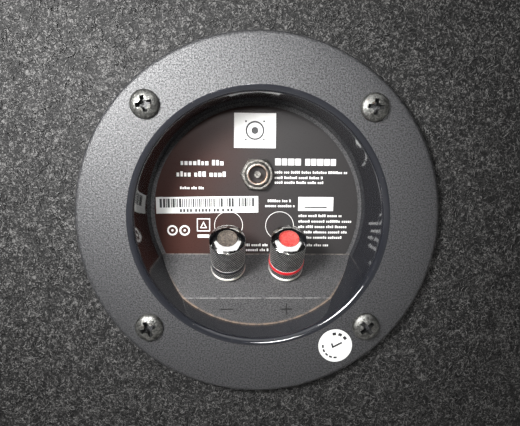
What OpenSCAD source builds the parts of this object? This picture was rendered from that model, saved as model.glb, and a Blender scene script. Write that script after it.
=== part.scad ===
// Loaded 12 inch bandpass car subwoofer in a carpeted MDF box, millimetres.
// +Z is up, +X is the box's long way, and the terminal panel faces -Y.
// The origin is the centre of the face that the box stands on.

/* [Box] */
// Width over the carpet
outer_w = 536; // [530:1:560]
// Depth over the carpet, rear face to front face
outer_d = 400; // [400:1:420]
// Height over the carpet
outer_h = 380; // [380:1:400]
// Thickness of the MDF boards
mdf_t = 16; // [15:1:18]
// Thickness of the carpet
carpet_t = 3; // [2:0.5:4]
// Inner depth of the sealed rear chamber
rear_chamber = 181; // [178:1:190]

/* [Terminal cup] */
// Sideways place of the cup on the rear panel
cup_x = 150; // [140:1:155]
// Height of the cup's centre
cup_z = 190; // [180:1:200]
// Diameter of the flange
flange_d = 106; // [104:1:112]
// Thickness of the flange, which stands on the carpet's level
flange_t = 3; // [2.5:0.5:4]
// Diameter of the mouth, inside its rounded edge
mouth_d = 72.4; // [71:0.2:74]
// Radius of the mouth's rounded edge
mouth_round = 1.6; // [1:0.2:2]
// Depth of the floor below the flange's front
floor_depth = 23; // [22:0.5:24]
// Diameter of the floor
floor_d = 70.8; // [69:0.2:71]
// Wall thickness of the moulding
cup_wall = 2; // [1.6:0.2:2.4]
// Height of the ramp's top edge above the cup's centre
ramp_top_z = -15.4; // [-16:0.1:-14]
// Angle between the ramp and the panel
ramp_angle = 47; // [44:0.5:50]
// Depth of the plateau that carries the polarity marks
plateau_depth = 10.6; // [10:0.2:12]
// Spacing of the four screws
cup_screw_spacing = 64.5; // [63:0.5:66]
// Diameter of the cup's screw heads
cup_screw_head_d = 8.2; // [7:0.2:8.6]

/* [Binding posts] */
// Spacing of the two posts
post_spacing = 19; // [18:0.5:20]
// Distance of a post's axis from the ramp's top edge, along the ramp
post_drop = 5.6; // [5.5:0.1:7]
// Diameter of the threaded stud
stud_d = 6; // [5:0.5:6]
// Diameter of the cross hole for bare wire
wire_hole_d = 3.2; // [2.5:0.1:3.4]
// Diameter of the knurled cap
cap_d = 11.2; // [10:0.2:11.2]
// Height of the cap's top above the ramp
cap_top = 17; // [16.5:0.5:18]
// Diameter of the coloured plug in the cap
plug_d = 6; // [5:0.5:6]

/* [Lighting jack] */
// Height of the jack above the cup's centre
jack_z = 11.8; // [10:0.1:13]
// Width of the nut across its flats
jack_nut_af = 10; // [9:0.5:11]
// Diameter of the jack's threaded barrel
jack_barrel_d = 8; // [7:0.5:8]
// Diameter of the jack's bore
jack_bore_d = 5.6; // [5:0.1:5.8]
// Diameter of the jack's centre pin
jack_pin_d = 2.1; // [1.3:0.1:2.5]

/* [Window and ports] */
// Width and height of the clear window
window_w = 286; // [280:1:288]
// Thickness of the window
window_t = 5; // [4:1:6]
// Inside diameter of a port
port_d = 75; // [70:1:75]
// Length of a port behind the front board's outer face
port_l = 122; // [100:1:130]
// Distance of a port's axis from the middle
port_x = 204; // [204:1:206]

/* [Driver] */
// Diameter of the driver's frame
frame_d = 310; // [300:1:312]
// Diameter of the cone
cone_d = 232; // [226:1:234]
// Diameter of the magnet
magnet_d = 156; // [140:1:160]
// Diameter of the voice coil
coil_d = 51; // [50:0.5:52]
// Number of screws that hold the driver
driver_screw_count = 8; // [6:2:10]

/* [Hidden] */
$fn = 96;
fit_gap = 0.05;
screw_taper = 3;
carpet_colour = [0.11, 0.11, 0.12];
mdf_colour = [0.62, 0.48, 0.33];
abs_colour = [0.18, 0.185, 0.2];
steel_colour = [0.55, 0.55, 0.53];
nickel_colour = [0.6, 0.59, 0.56];

// Boards: the faces of the MDF box, inside the carpet.
box_w = outer_w - 2 * carpet_t;
box_y1 = outer_d / 2 - carpet_t;
box_y0 = -box_y1;
box_z0 = carpet_t;
box_z1 = outer_h - carpet_t;
mid_z = outer_h / 2;
inner_w = box_w - 2 * mdf_t;
inner_h = box_z1 - box_z0 - 2 * mdf_t;
divider_y0 = box_y0 + mdf_t + rear_chamber;
divider_y1 = divider_y0 + mdf_t;
cable_hole_x = 220;
cable_hole_z = 300;
cable_hole_r = 4;
corner_round = 18;

// Terminal cup: local Y runs from the flange's front into the box.
cup_y = -outer_d / 2 - flange_t;
cut_out_r = mouth_d / 2 + cup_wall + 1.8;
gasket_r = 50;
panel_front = flange_t + carpet_t;
cup_screw_r = 2.1;
cup_screw_l = 20;
cup_screw_hole_r = 2.4;
cup_screw_rim = 0.5;
cup_screw_dome = 1.9;
label_r = 34.1;
label_t = 0.2;
label_edge_z = ramp_top_z + 0.2;
sticker_t = 0.1;
sticker_r = 5.1;
sticker_x = 23.3;
sticker_z = -38.4;
serial_w = 34;
serial_h = 5.5;
serial_x = -16.6;
serial_z = 1.4;
serial_tilt = 1;
ramp_run = (floor_depth - plateau_depth) / tan(ramp_angle);
plateau_z = ramp_top_z - ramp_run;
post_z = ramp_top_z - post_drop * cos(ramp_angle);
post_y = floor_depth - post_drop * sin(ramp_angle);

// Posts: heights along a post's own axis, from the ramp.
bush_h = 0.4;
bush_r = 4;
collar_h = 0.6;
washer_h = 0.8;
washer_z = bush_h + collar_h;
cap_z = washer_z + washer_h;
wire_hole_z = 3.9;
relief_top = 6;
stud_top = 13.9;
stud_bottom = -9;
band_z = 4.6;
band_h = 1.4;
band_r = cap_d / 2 + 0.15;
plug_top = cap_top - 0.8;
plug_h = 2;
insulator_t = 1;
insulator_r = 5.5;
lug_r = 5;
lug_l = 12;
lug_t = 0.8;
nut_h = 3;
nut_across = 9.2;
cap_bevel = 0.6;
cap_relief_r = 4.2;
band_seat_r = cap_d / 2 - 0.3;

// Jack: depths below the flange's front.
jack_front = floor_depth - 3.5;
jack_nut_h = 2.4;
jack_pin_y0 = jack_front + 1;
jack_pin_l = 9;
jack_floor = jack_pin_y0 + jack_pin_l + 0.3;
jack_back = jack_floor + 7;
jack_tag_l = 5;
jack_collar_r = 5.5;
jack_body_r = 4.8;
jack_wire_r = 0.8;

// Driver: heights along Y.
frame_y = divider_y1;
frame_t = 2.5;
frame_r = frame_d / 2;
wall_r0 = 84;
wall_y0 = -57.5;
wall_r1 = 140;
ledge_y = -36.5;
motor_y = -60;
plate_t = 8;
magnet_t = 30;
yoke_t = 10;
cone_r = cone_d / 2;
neck_r = coil_d / 2 + 0.6;
neck_y = -30;
cone_t = 1.4;
cone_slope = (frame_y + 2 - neck_y) / (cone_r - neck_r);
dust_r = 44;
dust_h = 13;
dust_t = 0.9;
roll_r = 11.5;
land_r = cone_r - 1 + 2 * roll_r;
spider_y = -33.6;
former_y0 = -78;
winding_l = 24;
driver_screw_ring = 150.5;
board_x = 112;
board_w = 36;

function cone_back(r) = neck_y + (r - neck_r) * cone_slope;
function cone_front(r) = cone_back(r) + cone_t;

// Routes of the leads inside the box, held all the way.
neg_route = [[140.5, -171, 177.5], [140, -162, 175], [141, -140, 168], [142, -105, 166],
             [140, -65, 172], [134, -38, 179], [126, -27, 182]];
pos_route = [[159.5, -171, 177.5], [160, -162, 181], [159, -140, 190], [156, -105, 198],
             [149, -65, 201], [138, -38, 199], [126, -27, 198]];
led_route = [[150, -159.5, 201.8], [151, -150, 203], [165, -130, 220], [195, -90, 262], [214, -40, 292],
             [220, -8, 300], [220, 24, 300], [216, 60, 312], [200, 110, 340], [178, 150, 356],
             [158, 168, 359], [141, 172, 359.2]];
led_link_route = [[-141, 172, 359.2], [-200, 174, 357], [-238, 176, 340], [-247, 176.5, 300],
                  [-247, 176.5, 190], [-247, 176.5, 80], [-238, 176, 40], [-200, 174, 23],
                  [-141, 172, 20.8]];
tinsel_route = [[119, -20, 18.3], [117, -22, 27], [107, -24, 31], [92, -23, 26], [77, -19, 16],
                [66, -15, 8]];

// Catmull-Rom points through a route, four to a stretch.
function bend(p0, p1, p2, p3, t) =
    0.5 * (2 * p1 + (p2 - p0) * t + (2 * p0 - 5 * p1 + 4 * p2 - p3) * t * t
    + (3 * p1 - p0 - 3 * p2 + p3) * t * t * t);
function smooth_route(p, steps = 4) = concat(
    [for (i = [0 : len(p) - 2], j = [0 : steps - 1])
        bend(p[max(i - 1, 0)], p[i], p[i + 1], p[min(i + 2, len(p) - 1)], j / steps)],
    [p[len(p) - 1]]);
function unit(v) = v / norm(v);
function ring(c, along, r, n) =
    let (u = unit(cross(along, [0.31, 0.17, 0.93])), v = cross(along, u))
    [for (k = [0 : n - 1]) c + r * (cos(360 * k / n) * u + sin(360 * k / n) * v)];

// A lead swept along a route as one closed tube.
module lead(route, r, n = 8) {
    p = smooth_route(route);
    last = len(p) - 1;
    rings = [for (i = [0 : last]) ring(p[i], unit(p[min(i + 1, last)] - p[max(i - 1, 0)]), r, n)];
    points = [for (one = rings) each one];
    sides = [for (i = [0 : last - 1], k = [0 : n - 1])
        [i * n + k, i * n + (k + 1) % n, (i + 1) * n + (k + 1) % n, (i + 1) * n + k]];
    ends = [[for (k = [n - 1 : -1 : 0]) k], [for (k = [0 : n - 1]) last * n + k]];
    polyhedron(points, concat(sides, ends));
}

// Helpers: solids about and along the Y axis.
module rod_y(r, y0, y1) translate([0, y0, 0]) rotate([-90, 0, 0]) cylinder(r = r, h = y1 - y0);
module turned_y(points) rotate([-90, 0, 0]) rotate_extrude() polygon(points);
module plate_y(y0, y1) translate([0, y1, 0]) rotate([90, 0, 0]) linear_extrude(y1 - y0) children();
module ring_y(r0, r1, y0, y1) turned_y([[r0, y0], [r1, y0], [r1, y1], [r0, y1]]);
module board(x0, x1, y0, y1, z0, z1) translate([x0, y0, z0]) cube([x1 - x0, y1 - y0, z1 - z0]);
module at_cup() translate([cup_x, cup_y, cup_z]) children();
module at_driver() translate([0, 0, mid_z]) children();
module at_port(side) translate([side * port_x, 0, mid_z]) children();
module at_cup_screws()
    for (x = [-1, 1], z = [-1, 1])
        translate([x * cup_screw_spacing / 2, 0, z * cup_screw_spacing / 2]) children();
// On a post, local Z is the post's axis and points out of the ramp.
module on_post(side)
    at_cup() translate([side * post_spacing / 2, post_y, post_z]) rotate([90 - ramp_angle, 0, 0]) children();
module on_posts() for (side = [-1, 1]) on_post(side) children();
module rounded_rect(w, h, r) {
    square([w - 2 * r, h], center = true);
    square([w, h - 2 * r], center = true);
    for (x = [-1, 1], y = [-1, 1]) translate([x * (w / 2 - r), y * (h / 2 - r)]) circle(r);
}
// A pan-head screw along +Y, from its tip to the seat of its head.
module pan_screw(r, head_r, head_h, tip, seat) turned_y([[0, tip], [0.3 * r, tip], [r, tip + screw_taper],
    [r, seat], [head_r, seat], [head_r, seat + 0.35 * head_h], [0.65 * head_r, seat + 0.85 * head_h],
    [0, seat + head_h]]);
module tube(r0, r1, z0, z1) translate([0, 0, z0]) difference() {
    cylinder(r = r1, h = z1 - z0);
    translate([0, 0, -1]) cylinder(r = r0, h = z1 - z0 + 2);
}

// ---- Boards ----
module panel_top() color(mdf_colour)
    board(-box_w / 2, box_w / 2, box_y0, box_y1, box_z1 - mdf_t, box_z1);
module panel_bottom() color(mdf_colour)
    board(-box_w / 2, box_w / 2, box_y0, box_y1, box_z0, box_z0 + mdf_t);
module side_panel(side) color(mdf_colour)
    translate([side * (inner_w + mdf_t) / 2, 0, mid_z])
        cube([mdf_t, box_y1 - box_y0, inner_h], center = true);
module panel_left() side_panel(-1);
module panel_right() side_panel(1);
module inner_board(y0, y1) board(-inner_w / 2, inner_w / 2, y0, y1, box_z0 + mdf_t, box_z1 - mdf_t);
module rear_panel() color(mdf_colour) difference() {
    inner_board(box_y0, box_y0 + mdf_t);
    at_cup() {
        rod_y(cut_out_r, 0, panel_front + mdf_t + 1);
        at_cup_screws() rod_y(cup_screw_r + fit_gap, 0, panel_front + mdf_t + 1);
    }
}
module front_baffle() color(mdf_colour) difference() {
    inner_board(box_y1 - mdf_t, box_y1);
    at_driver() plate_y(box_y1 - mdf_t - 1, box_y1 + 1) rounded_rect(window_open, window_open, corner_round);
    for (side = [-1, 1]) at_port(side) {
        rod_y(port_tube_r + 0.5, box_y1 - mdf_t - 1, box_y1 + 1);
        at_port_screws() rod_y(port_screw_r + fit_gap, box_y1 - mdf_t - 1, box_y1 + 1);
    }
    at_window_screws() rod_y(window_screw_r + fit_gap, box_y1 - mdf_t - 1, box_y1 + 1);
}
module divider() color(mdf_colour) difference() {
    inner_board(divider_y0, divider_y1);
    at_driver() {
        rod_y(wall_r1 + 1, divider_y0 - 1, divider_y1 + 1);
        at_driver_screws() rod_y(driver_screw_r + fit_gap, divider_y0 - 1, divider_y1 + 1);
    }
    translate([cable_hole_x, 0, cable_hole_z]) rod_y(cable_hole_r, divider_y0 - 1, divider_y1 + 1);
}

// ---- Carpet ----
module carpet_slab(x0, x1, y0, y1, z0, z1) color(carpet_colour) board(x0, x1, y0, y1, z0, z1);
module carpet_top()
    carpet_slab(-outer_w / 2, outer_w / 2, -outer_d / 2, outer_d / 2, box_z1, outer_h);
module carpet_bottom()
    carpet_slab(-outer_w / 2, outer_w / 2, -outer_d / 2, outer_d / 2, 0, box_z0);
module carpet_left()
    carpet_slab(-outer_w / 2, -box_w / 2, -outer_d / 2, outer_d / 2, box_z0, box_z1);
module carpet_right()
    carpet_slab(box_w / 2, outer_w / 2, -outer_d / 2, outer_d / 2, box_z0, box_z1);
module carpet_rear() difference() {
    carpet_slab(-box_w / 2, box_w / 2, -outer_d / 2, box_y0, box_z0, box_z1);
    at_cup() rod_y(gasket_r + 0.5, 0, panel_front + 1);
}
module carpet_front() difference() {
    carpet_slab(-box_w / 2, box_w / 2, box_y1, outer_d / 2, box_z0, box_z1);
    at_driver() plate_y(box_y1 - 1, outer_d / 2 + 1)
        rounded_rect(window_w + 2 * window_gap, window_w + 2 * window_gap, window_round + window_gap);
    for (side = [-1, 1]) at_port(side) rod_y(port_flange_r + 0.5, box_y1 - 1, outer_d / 2 + 1);
}

// ---- Window ----
window_lap = 12;
window_gap = 1;
window_open = window_w - 2 * window_lap;
window_gasket_t = 1;
window_screw_r = 2;
window_y = box_y1 + window_gasket_t;
window_round = 24;
window_screw_inset = 6;
window_screw_step = 46;
front_screw_tip = box_y1 - 14;
module at_window_screws() {
    edge = window_w / 2 - window_screw_inset;
    corner = edge - 4;
    step = window_screw_step;
    spots = [for (s = [-1, 1], t = [-1, 1])
        each [[s * edge, t * step], [s * step, t * edge], [s * corner, t * corner]]];
    for (p = spots) translate([p[0], 0, mid_z + p[1]]) children();
}
module window_panel() color([0.75, 0.8, 0.85, 0.35]) difference() {
    at_driver() plate_y(window_y, window_y + window_t) rounded_rect(window_w, window_w, window_round);
    at_window_screws() rod_y(window_screw_r + 0.2, window_y - 1, window_y + window_t + 1);
}
module window_gasket() color([0.05, 0.05, 0.05]) difference() {
    at_driver() plate_y(box_y1, window_y) rounded_rect(window_w - 1, window_w - 1, window_round - 0.5);
    at_driver() plate_y(box_y1 - 1, window_y + 1) rounded_rect(window_open, window_open, corner_round);
    at_window_screws() rod_y(window_screw_r + 0.2, box_y1 - 1, window_y + 1);
}
module window_screws() color(steel_colour) at_window_screws()
    pan_screw(window_screw_r, 3.6, 2.2, front_screw_tip, window_y + window_t);

// ---- Ports ----
port_wall = 2.5;
port_tube_r = port_d / 2 + port_wall;
port_flange_r = 54;
port_flange_t = 4.5;
port_round = 10;
port_screw_r = 1.6;
port_screw_ring = 51;
module at_port_screws()
    for (i = [0 : 3]) rotate([0, 45 + 90 * i, 0]) translate([port_screw_ring, 0, 0]) children();
module port(side) color([0.07, 0.07, 0.075]) at_port(side) difference() {
    turned_y(concat(
        [[port_d / 2, box_y1 - port_l]],
        [for (a = [0 : 7.5 : 90])
            [port_d / 2 + port_round * (1 - cos(a)), box_y1 + port_flange_t - port_round * (1 - sin(a))]],
        [[port_flange_r - 1, box_y1 + port_flange_t], [port_flange_r, box_y1 + port_flange_t - 1],
         [port_flange_r, box_y1], [port_tube_r, box_y1], [port_tube_r, box_y1 - port_l]]));
    at_port_screws() rod_y(port_screw_r + 0.2, box_y1 - 1, box_y1 + port_flange_t + 1);
}
module port_left() port(-1);
module port_right() port(1);
module port_screws() color(steel_colour) for (side = [-1, 1]) at_port(side) at_port_screws()
    pan_screw(port_screw_r, 2.8, 1.7, front_screw_tip, box_y1 + port_flange_t);

// ---- Lighting ----
strip_l = 280;
strip_w = 10;
strip_t = 1.2;
strip_y = 172;
lamp_w = 5;
lamp_t = 1.4;
lamp_count = 14;
module led_strip() {
    translate([0, 0, strip_t / 2]) cube([strip_l, strip_w, strip_t], center = true);
    for (i = [0 : lamp_count - 1])
        translate([(i + 0.5 - lamp_count / 2) * strip_l / lamp_count, 0, strip_t + lamp_t / 2])
            cube([lamp_w, lamp_w, lamp_t + 0.2], center = true);
}
module led_strips() color([0.9, 0.9, 0.85]) {
    translate([0, strip_y, box_z0 + mdf_t]) led_strip();
    translate([0, strip_y, box_z1 - mdf_t]) rotate([180, 0, 0]) led_strip();
}
module led_cable() color([0.08, 0.08, 0.08]) {
    lead(led_route, 1.5);
    lead(led_link_route, 1.2);
}

// ---- Terminal cup ----
// The space in front of the floor, ramp and plateau, all pushed back by t.
module stepped_space(t) {
    shift = t * tan(ramp_angle / 2);
    translate([-80, 0, 0]) rotate([90, 0, 90]) linear_extrude(160)
        polygon([[-10, 80], [floor_depth + t, 80], [floor_depth + t, ramp_top_z - shift],
                 [plateau_depth + t, plateau_z - shift], [plateau_depth + t, -80], [-10, -80]]);
}
module mouth_space() turned_y(concat(
    [[0, -1], [mouth_d / 2 + mouth_round, -1]],
    [for (a = [90 : -10 : 0])
        [mouth_d / 2 + mouth_round * (1 - cos(a)), mouth_round * (1 - sin(a))]],
    [[floor_d / 2, floor_depth + 3], [0, floor_depth + 3]]));
module terminal_cup() color(abs_colour) at_cup() difference() {
    union() {
        turned_y([[0, 0], [flange_d / 2 - 1.2, 0], [flange_d / 2 - 0.4, 0.4],
                  [flange_d / 2, 1.2], [flange_d / 2, flange_t], [0, flange_t]]);
        intersection() {
            stepped_space(cup_wall);
            turned_y([[0, 1], [mouth_d / 2 + cup_wall, 1], [floor_d / 2 + cup_wall, floor_depth + cup_wall],
                      [0, floor_depth + cup_wall]]);
        }
    }
    intersection() {
        stepped_space(0);
        mouth_space();
    }
    at_cup_screws() rod_y(cup_screw_hole_r, -1, flange_t + 1);
    translate([0, 0, jack_z]) rod_y(jack_barrel_d / 2 + fit_gap, floor_depth - 1, floor_depth + cup_wall + 1);
    for (side = [-1, 1]) translate([side * post_spacing / 2, post_y, post_z])
        rotate([90 - ramp_angle, 0, 0]) translate([0, 0, -6]) cylinder(r = bush_r + fit_gap, h = 8);
}
module cup_gasket() color([0.04, 0.04, 0.04]) at_cup() difference() {
    ring_y(cut_out_r + 0.3, gasket_r, flange_t, panel_front);
    at_cup_screws() rod_y(cup_screw_hole_r, flange_t - 1, panel_front + 1);
}
module cup_screws() color(steel_colour) at_cup() at_cup_screws()
    turned_y(concat(
        [[0, cup_screw_l], [0.5, cup_screw_l], [cup_screw_r, cup_screw_l - screw_taper], [cup_screw_r, 0]],
        [for (a = [0 : 10 : 90])
            [cup_screw_head_d / 2 * cos(a), -cup_screw_rim - cup_screw_dome * sin(a)]],
        [[0, -cup_screw_rim - cup_screw_dome]]));
module label_shape() difference() {
    intersection() {
        circle(label_r);
        translate([-40, label_edge_z]) square([80, 80]);
    }
    translate([0, jack_z]) circle(jack_barrel_d / 2 + 0.1);
}
module spec_label() color([0.16, 0.14, 0.14]) at_cup()
    plate_y(floor_depth - label_t, floor_depth) label_shape();
module serial_label() color([0.9, 0.9, 0.88]) at_cup()
    plate_y(floor_depth - label_t - sticker_t, floor_depth - label_t)
        translate([serial_x, serial_z]) rotate(serial_tilt) square([serial_w, serial_h], center = true);
module inspection_sticker() color([0.93, 0.93, 0.92]) at_cup()
    translate([sticker_x, 0, sticker_z]) rod_y(sticker_r, -sticker_t, 0);

// ---- Lighting jack ----
module jack_barrel() color(nickel_colour) at_cup() translate([0, 0, jack_z]) difference() {
    turned_y([[0, jack_front], [jack_barrel_d / 2 - 0.4, jack_front], [jack_barrel_d / 2, jack_front + 0.4],
              [jack_barrel_d / 2, floor_depth + cup_wall], [jack_collar_r, floor_depth + cup_wall],
              [jack_collar_r, floor_depth + cup_wall + 1.5], [jack_body_r, floor_depth + cup_wall + 1.5],
              [jack_body_r, jack_back], [0, jack_back]]);
    rod_y(jack_bore_d / 2, jack_front - 1, jack_floor);
    rod_y(jack_wire_r + fit_gap, jack_floor - 1, jack_back + 1);
    for (side = [-1, 1]) translate([side * 3.2 - 1, jack_back - 1.5, -0.5]) cube([2, 3, 1]);
}
module jack_nut() color(nickel_colour) at_cup() translate([0, 0, jack_z]) difference() {
    rotate([-90, 0, 0]) translate([0, 0, floor_depth - label_t - jack_nut_h])
        cylinder(d = jack_nut_af / cos(30), h = jack_nut_h, $fn = 6);
    rod_y(jack_barrel_d / 2 + fit_gap, 0, floor_depth + 1);
}
module jack_pin() color(nickel_colour) at_cup() translate([0, 0, jack_z]) {
    rod_y(jack_pin_d / 2, jack_pin_y0, jack_pin_y0 + jack_pin_l);
    rod_y(jack_wire_r, jack_pin_y0 + jack_pin_l, jack_back + jack_tag_l);
}
module jack_tags() color(nickel_colour) at_cup() translate([0, 0, jack_z]) for (side = [-1, 1])
    translate([side * 3.2 - 0.95, jack_back - 1.45, -0.45]) cube([1.9, jack_tag_l + 1.4, 0.9]);

// ---- Binding posts ----
module post_studs() color(nickel_colour) on_posts() difference() {
    union() {
        translate([0, 0, stud_bottom]) cylinder(d = stud_d, h = stud_top - stud_bottom);
        translate([0, 0, bush_h]) cylinder(d = cap_d, h = collar_h);
    }
    translate([-6, 0, wire_hole_z]) rotate([0, 90, 0]) cylinder(d = wire_hole_d, h = 12);
}
module post_insulators() color([0.06, 0.06, 0.065]) on_posts() {
    tube(stud_d / 2 + fit_gap, bush_r + 0.9, 0, bush_h);
    tube(stud_d / 2 + fit_gap, bush_r, -cup_wall, 0);
    tube(stud_d / 2 + fit_gap, insulator_r, -cup_wall - insulator_t, -cup_wall - fit_gap);
}
module solder_lugs() color([0.7, 0.68, 0.62]) on_posts()
    translate([0, 0, -cup_wall - insulator_t - lug_t]) difference() {
        union() {
            cylinder(r = lug_r, h = lug_t - fit_gap);
            translate([-2, 0, 0]) cube([4, lug_l, lug_t - fit_gap]);
        }
        translate([0, 0, -1]) cylinder(d = stud_d + 2 * fit_gap, h = 3);
        translate([0, lug_l - 2.5, -1]) cylinder(r = 1, h = 3);
    }
module post_nuts() color(nickel_colour) on_posts()
    translate([0, 0, -cup_wall - insulator_t - lug_t - nut_h]) difference() {
        cylinder(d = nut_across, h = nut_h - fit_gap, $fn = 6);
        translate([0, 0, -1]) cylinder(d = stud_d + 2 * fit_gap, h = nut_h + 2);
    }
module post_cap(side) color(nickel_colour) on_post(side) difference() {
    union() {
        translate([0, 0, cap_z]) cylinder(d = cap_d, h = cap_top - cap_bevel - cap_z);
        translate([0, 0, cap_top - cap_bevel])
            cylinder(d1 = cap_d, d2 = cap_d - 2 * cap_bevel, h = cap_bevel);
    }
    translate([0, 0, cap_z - 1]) cylinder(r = cap_relief_r, h = relief_top - cap_z + 1);
    translate([0, 0, cap_z]) cylinder(d = stud_d + 2 * fit_gap, h = cap_top);
    tube(band_seat_r, cap_d, band_z, band_z + band_h);
}
module post_band(side) on_post(side) tube(band_seat_r, band_r, band_z, band_z + band_h);
module post_plug(side) on_post(side) translate([0, 0, plug_top - plug_h]) cylinder(d = plug_d, h = plug_h);
module post_clamp_washer(side) color([0.75, 0.75, 0.73]) on_post(side)
    tube(stud_d / 2 + 0.2, cap_d / 2 + 0.1, washer_z + fit_gap, cap_z - fit_gap);
module neg_cap() post_cap(-1);
module neg_band() color([0.04, 0.04, 0.05]) post_band(-1);
module neg_plug() color([0.16, 0.15, 0.14]) post_plug(-1);
module neg_clamp_washer() post_clamp_washer(-1);
module pos_cap() post_cap(1);
module pos_band() color([0.8, 0.07, 0.08]) post_band(1);
module pos_plug() color([0.85, 0.13, 0.12]) post_plug(1);
module pos_clamp_washer() post_clamp_washer(1);
module speaker_wire_neg() color([0.05, 0.05, 0.05]) lead(neg_route, 1.6);
module speaker_wire_pos() color([0.7, 0.05, 0.05]) lead(pos_route, 1.6);

// ---- Driver ----
driver_screw_r = 2.2;
basket_wall = 2.5;
module at_driver_screws() for (i = [0 : driver_screw_count - 1])
    rotate([0, (i + 0.5) * 360 / driver_screw_count, 0]) translate([driver_screw_ring, 0, 0]) children();
function wall_r(y) = wall_r0 + (y - wall_y0) * (wall_r1 - wall_r0) / (frame_y - wall_y0);
module basket_wall_shell() turned_y([[wall_r(wall_y0) - basket_wall, wall_y0], [wall_r(wall_y0), wall_y0],
    [wall_r1, frame_y], [wall_r1 - basket_wall, frame_y]]);
module window_wedge() plate_y(wall_y0 + 6, frame_y - 10)
    polygon([[0, 0], [200 * cos(20), -200 * sin(20)], [200 * cos(20), 200 * sin(20)]]);
module basket() color([0.05, 0.05, 0.055]) at_driver() {
    difference() {
        basket_wall_shell();
        for (i = [0 : 5]) rotate([0, 30 + 60 * i, 0]) window_wedge();
    }
    difference() {
        ring_y(wall_r1 - basket_wall, frame_r, frame_y, frame_y + frame_t);
        at_driver_screws() rod_y(driver_screw_r + 0.2, frame_y - 1, frame_y + frame_t + 1);
    }
    ring_y(76, wall_r(ledge_y) - 1, ledge_y, ledge_y + 2.5);
    ring_y(coil_d / 2 + 4.5, wall_r0, motor_y, wall_y0);
}
module trim_gasket() color([0.04, 0.04, 0.04]) at_driver()
    ring_y(land_r + 0.5, 146, frame_y + frame_t + 1.2, frame_y + frame_t + 5);
module surround() color([0.06, 0.06, 0.065]) at_driver() {
    t = 1.2;
    y0 = frame_y + frame_t;
    mid_r = land_r - roll_r;
    inner_r = mid_r - roll_r;
    turned_y(concat(
        [[146, y0], [146, y0 + t], [land_r, y0 + t]],
        [for (a = [10 : 10 : 170]) [mid_r + roll_r * cos(a), y0 + t + roll_r * sin(a)]],
        [[inner_r, y0 + t], [inner_r - 6, cone_front(inner_r - 6) + 0.3 + t],
         [inner_r - 6, cone_front(inner_r - 6) + 0.3], [inner_r + 0.5, cone_front(inner_r + 0.5) + 0.3]],
        [for (a = [170 : -10 : 10]) [mid_r + (roll_r - t) * cos(a), y0 + t + (roll_r - t) * sin(a)]],
        [[land_r - 0.5, y0]]));
}
module cone() color([0.07, 0.07, 0.075]) at_driver()
    turned_y([[neck_r, cone_back(neck_r)], [cone_r, cone_back(cone_r)], [cone_r, cone_front(cone_r)],
              [neck_r, cone_front(neck_r)]]);
module dust_cap() color([0.05, 0.05, 0.055]) at_driver() {
    dome_r = (dust_r * dust_r + dust_h * dust_h) / (2 * dust_h);
    half = asin(dust_r / dome_r);
    y0 = cone_front(dust_r - dust_t * sin(half)) + dust_t * cos(half) + fit_gap;
    top = y0 + dust_h - dome_r;
    turned_y(concat(
        [for (k = [0 : 8]) [dome_r * sin(half * k / 8), top + dome_r * cos(half * k / 8)]],
        [for (k = [8 : -1 : 0])
            [(dome_r - dust_t) * sin(half * k / 8), top + (dome_r - dust_t) * cos(half * k / 8)]]));
}
function spider_wave(r) = spider_y + 2 * sin((r - 30) * 360 / 9.2) * ((r > 30 && r < 76) ? 1 : 0);
module spider() color([0.75, 0.68, 0.45]) at_driver() {
    radii = concat([26.3, 29], [for (r = [30 : 1.15 : 76]) r], [77, 88]);
    turned_y(concat([for (r = radii) [r, spider_wave(r)]],
                    [for (i = [len(radii) - 1 : -1 : 0]) [radii[i], spider_wave(radii[i]) + 0.7]]));
}
module coil_former() color([0.75, 0.45, 0.2]) at_driver()
    ring_y(coil_d / 2 - 0.1, coil_d / 2 + 0.4, former_y0, neck_y + 3);
module voice_coil() color([0.7, 0.35, 0.15]) at_driver()
    ring_y(coil_d / 2 + 0.45, coil_d / 2 + 1.7, former_y0 + 2, former_y0 + 2 + winding_l);
module top_plate() color(steel_colour) at_driver()
    ring_y(coil_d / 2 + 2.5, magnet_d / 2 - 4, motor_y - plate_t, motor_y);
module magnet() color([0.2, 0.2, 0.2]) at_driver()
    ring_y(38, magnet_d / 2, motor_y - plate_t - magnet_t, motor_y - plate_t);
module yoke() color(steel_colour) at_driver() {
    back = motor_y - plate_t - magnet_t;
    turned_y([[9, back - yoke_t], [magnet_d / 2 - 4, back - yoke_t], [magnet_d / 2 - 4, back],
              [coil_d / 2 - 0.9, back], [coil_d / 2 - 0.9, motor_y + 1], [9, motor_y + 1]]);
}
module driver_terminals() color([0.5, 0.3, 0.12]) at_driver() difference() {
    translate([board_x, -27, -board_w / 2]) cube([13, 14, board_w]);
    turned_y([[0, -60], [wall_r(-60) + 0.1, -60], [wall_r(10) + 0.1, 10], [0, 10]]);
}
module tinsel_leads() color([0.8, 0.6, 0.3]) at_driver() for (side = [-1, 1])
    lead([for (p = tinsel_route) [p[0], p[1], side * p[2]]], 0.9);
module driver_screws() color([0.06, 0.06, 0.06]) at_driver() at_driver_screws()
    pan_screw(driver_screw_r, 3.6, 2.8, -6, frame_y + frame_t);

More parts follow.
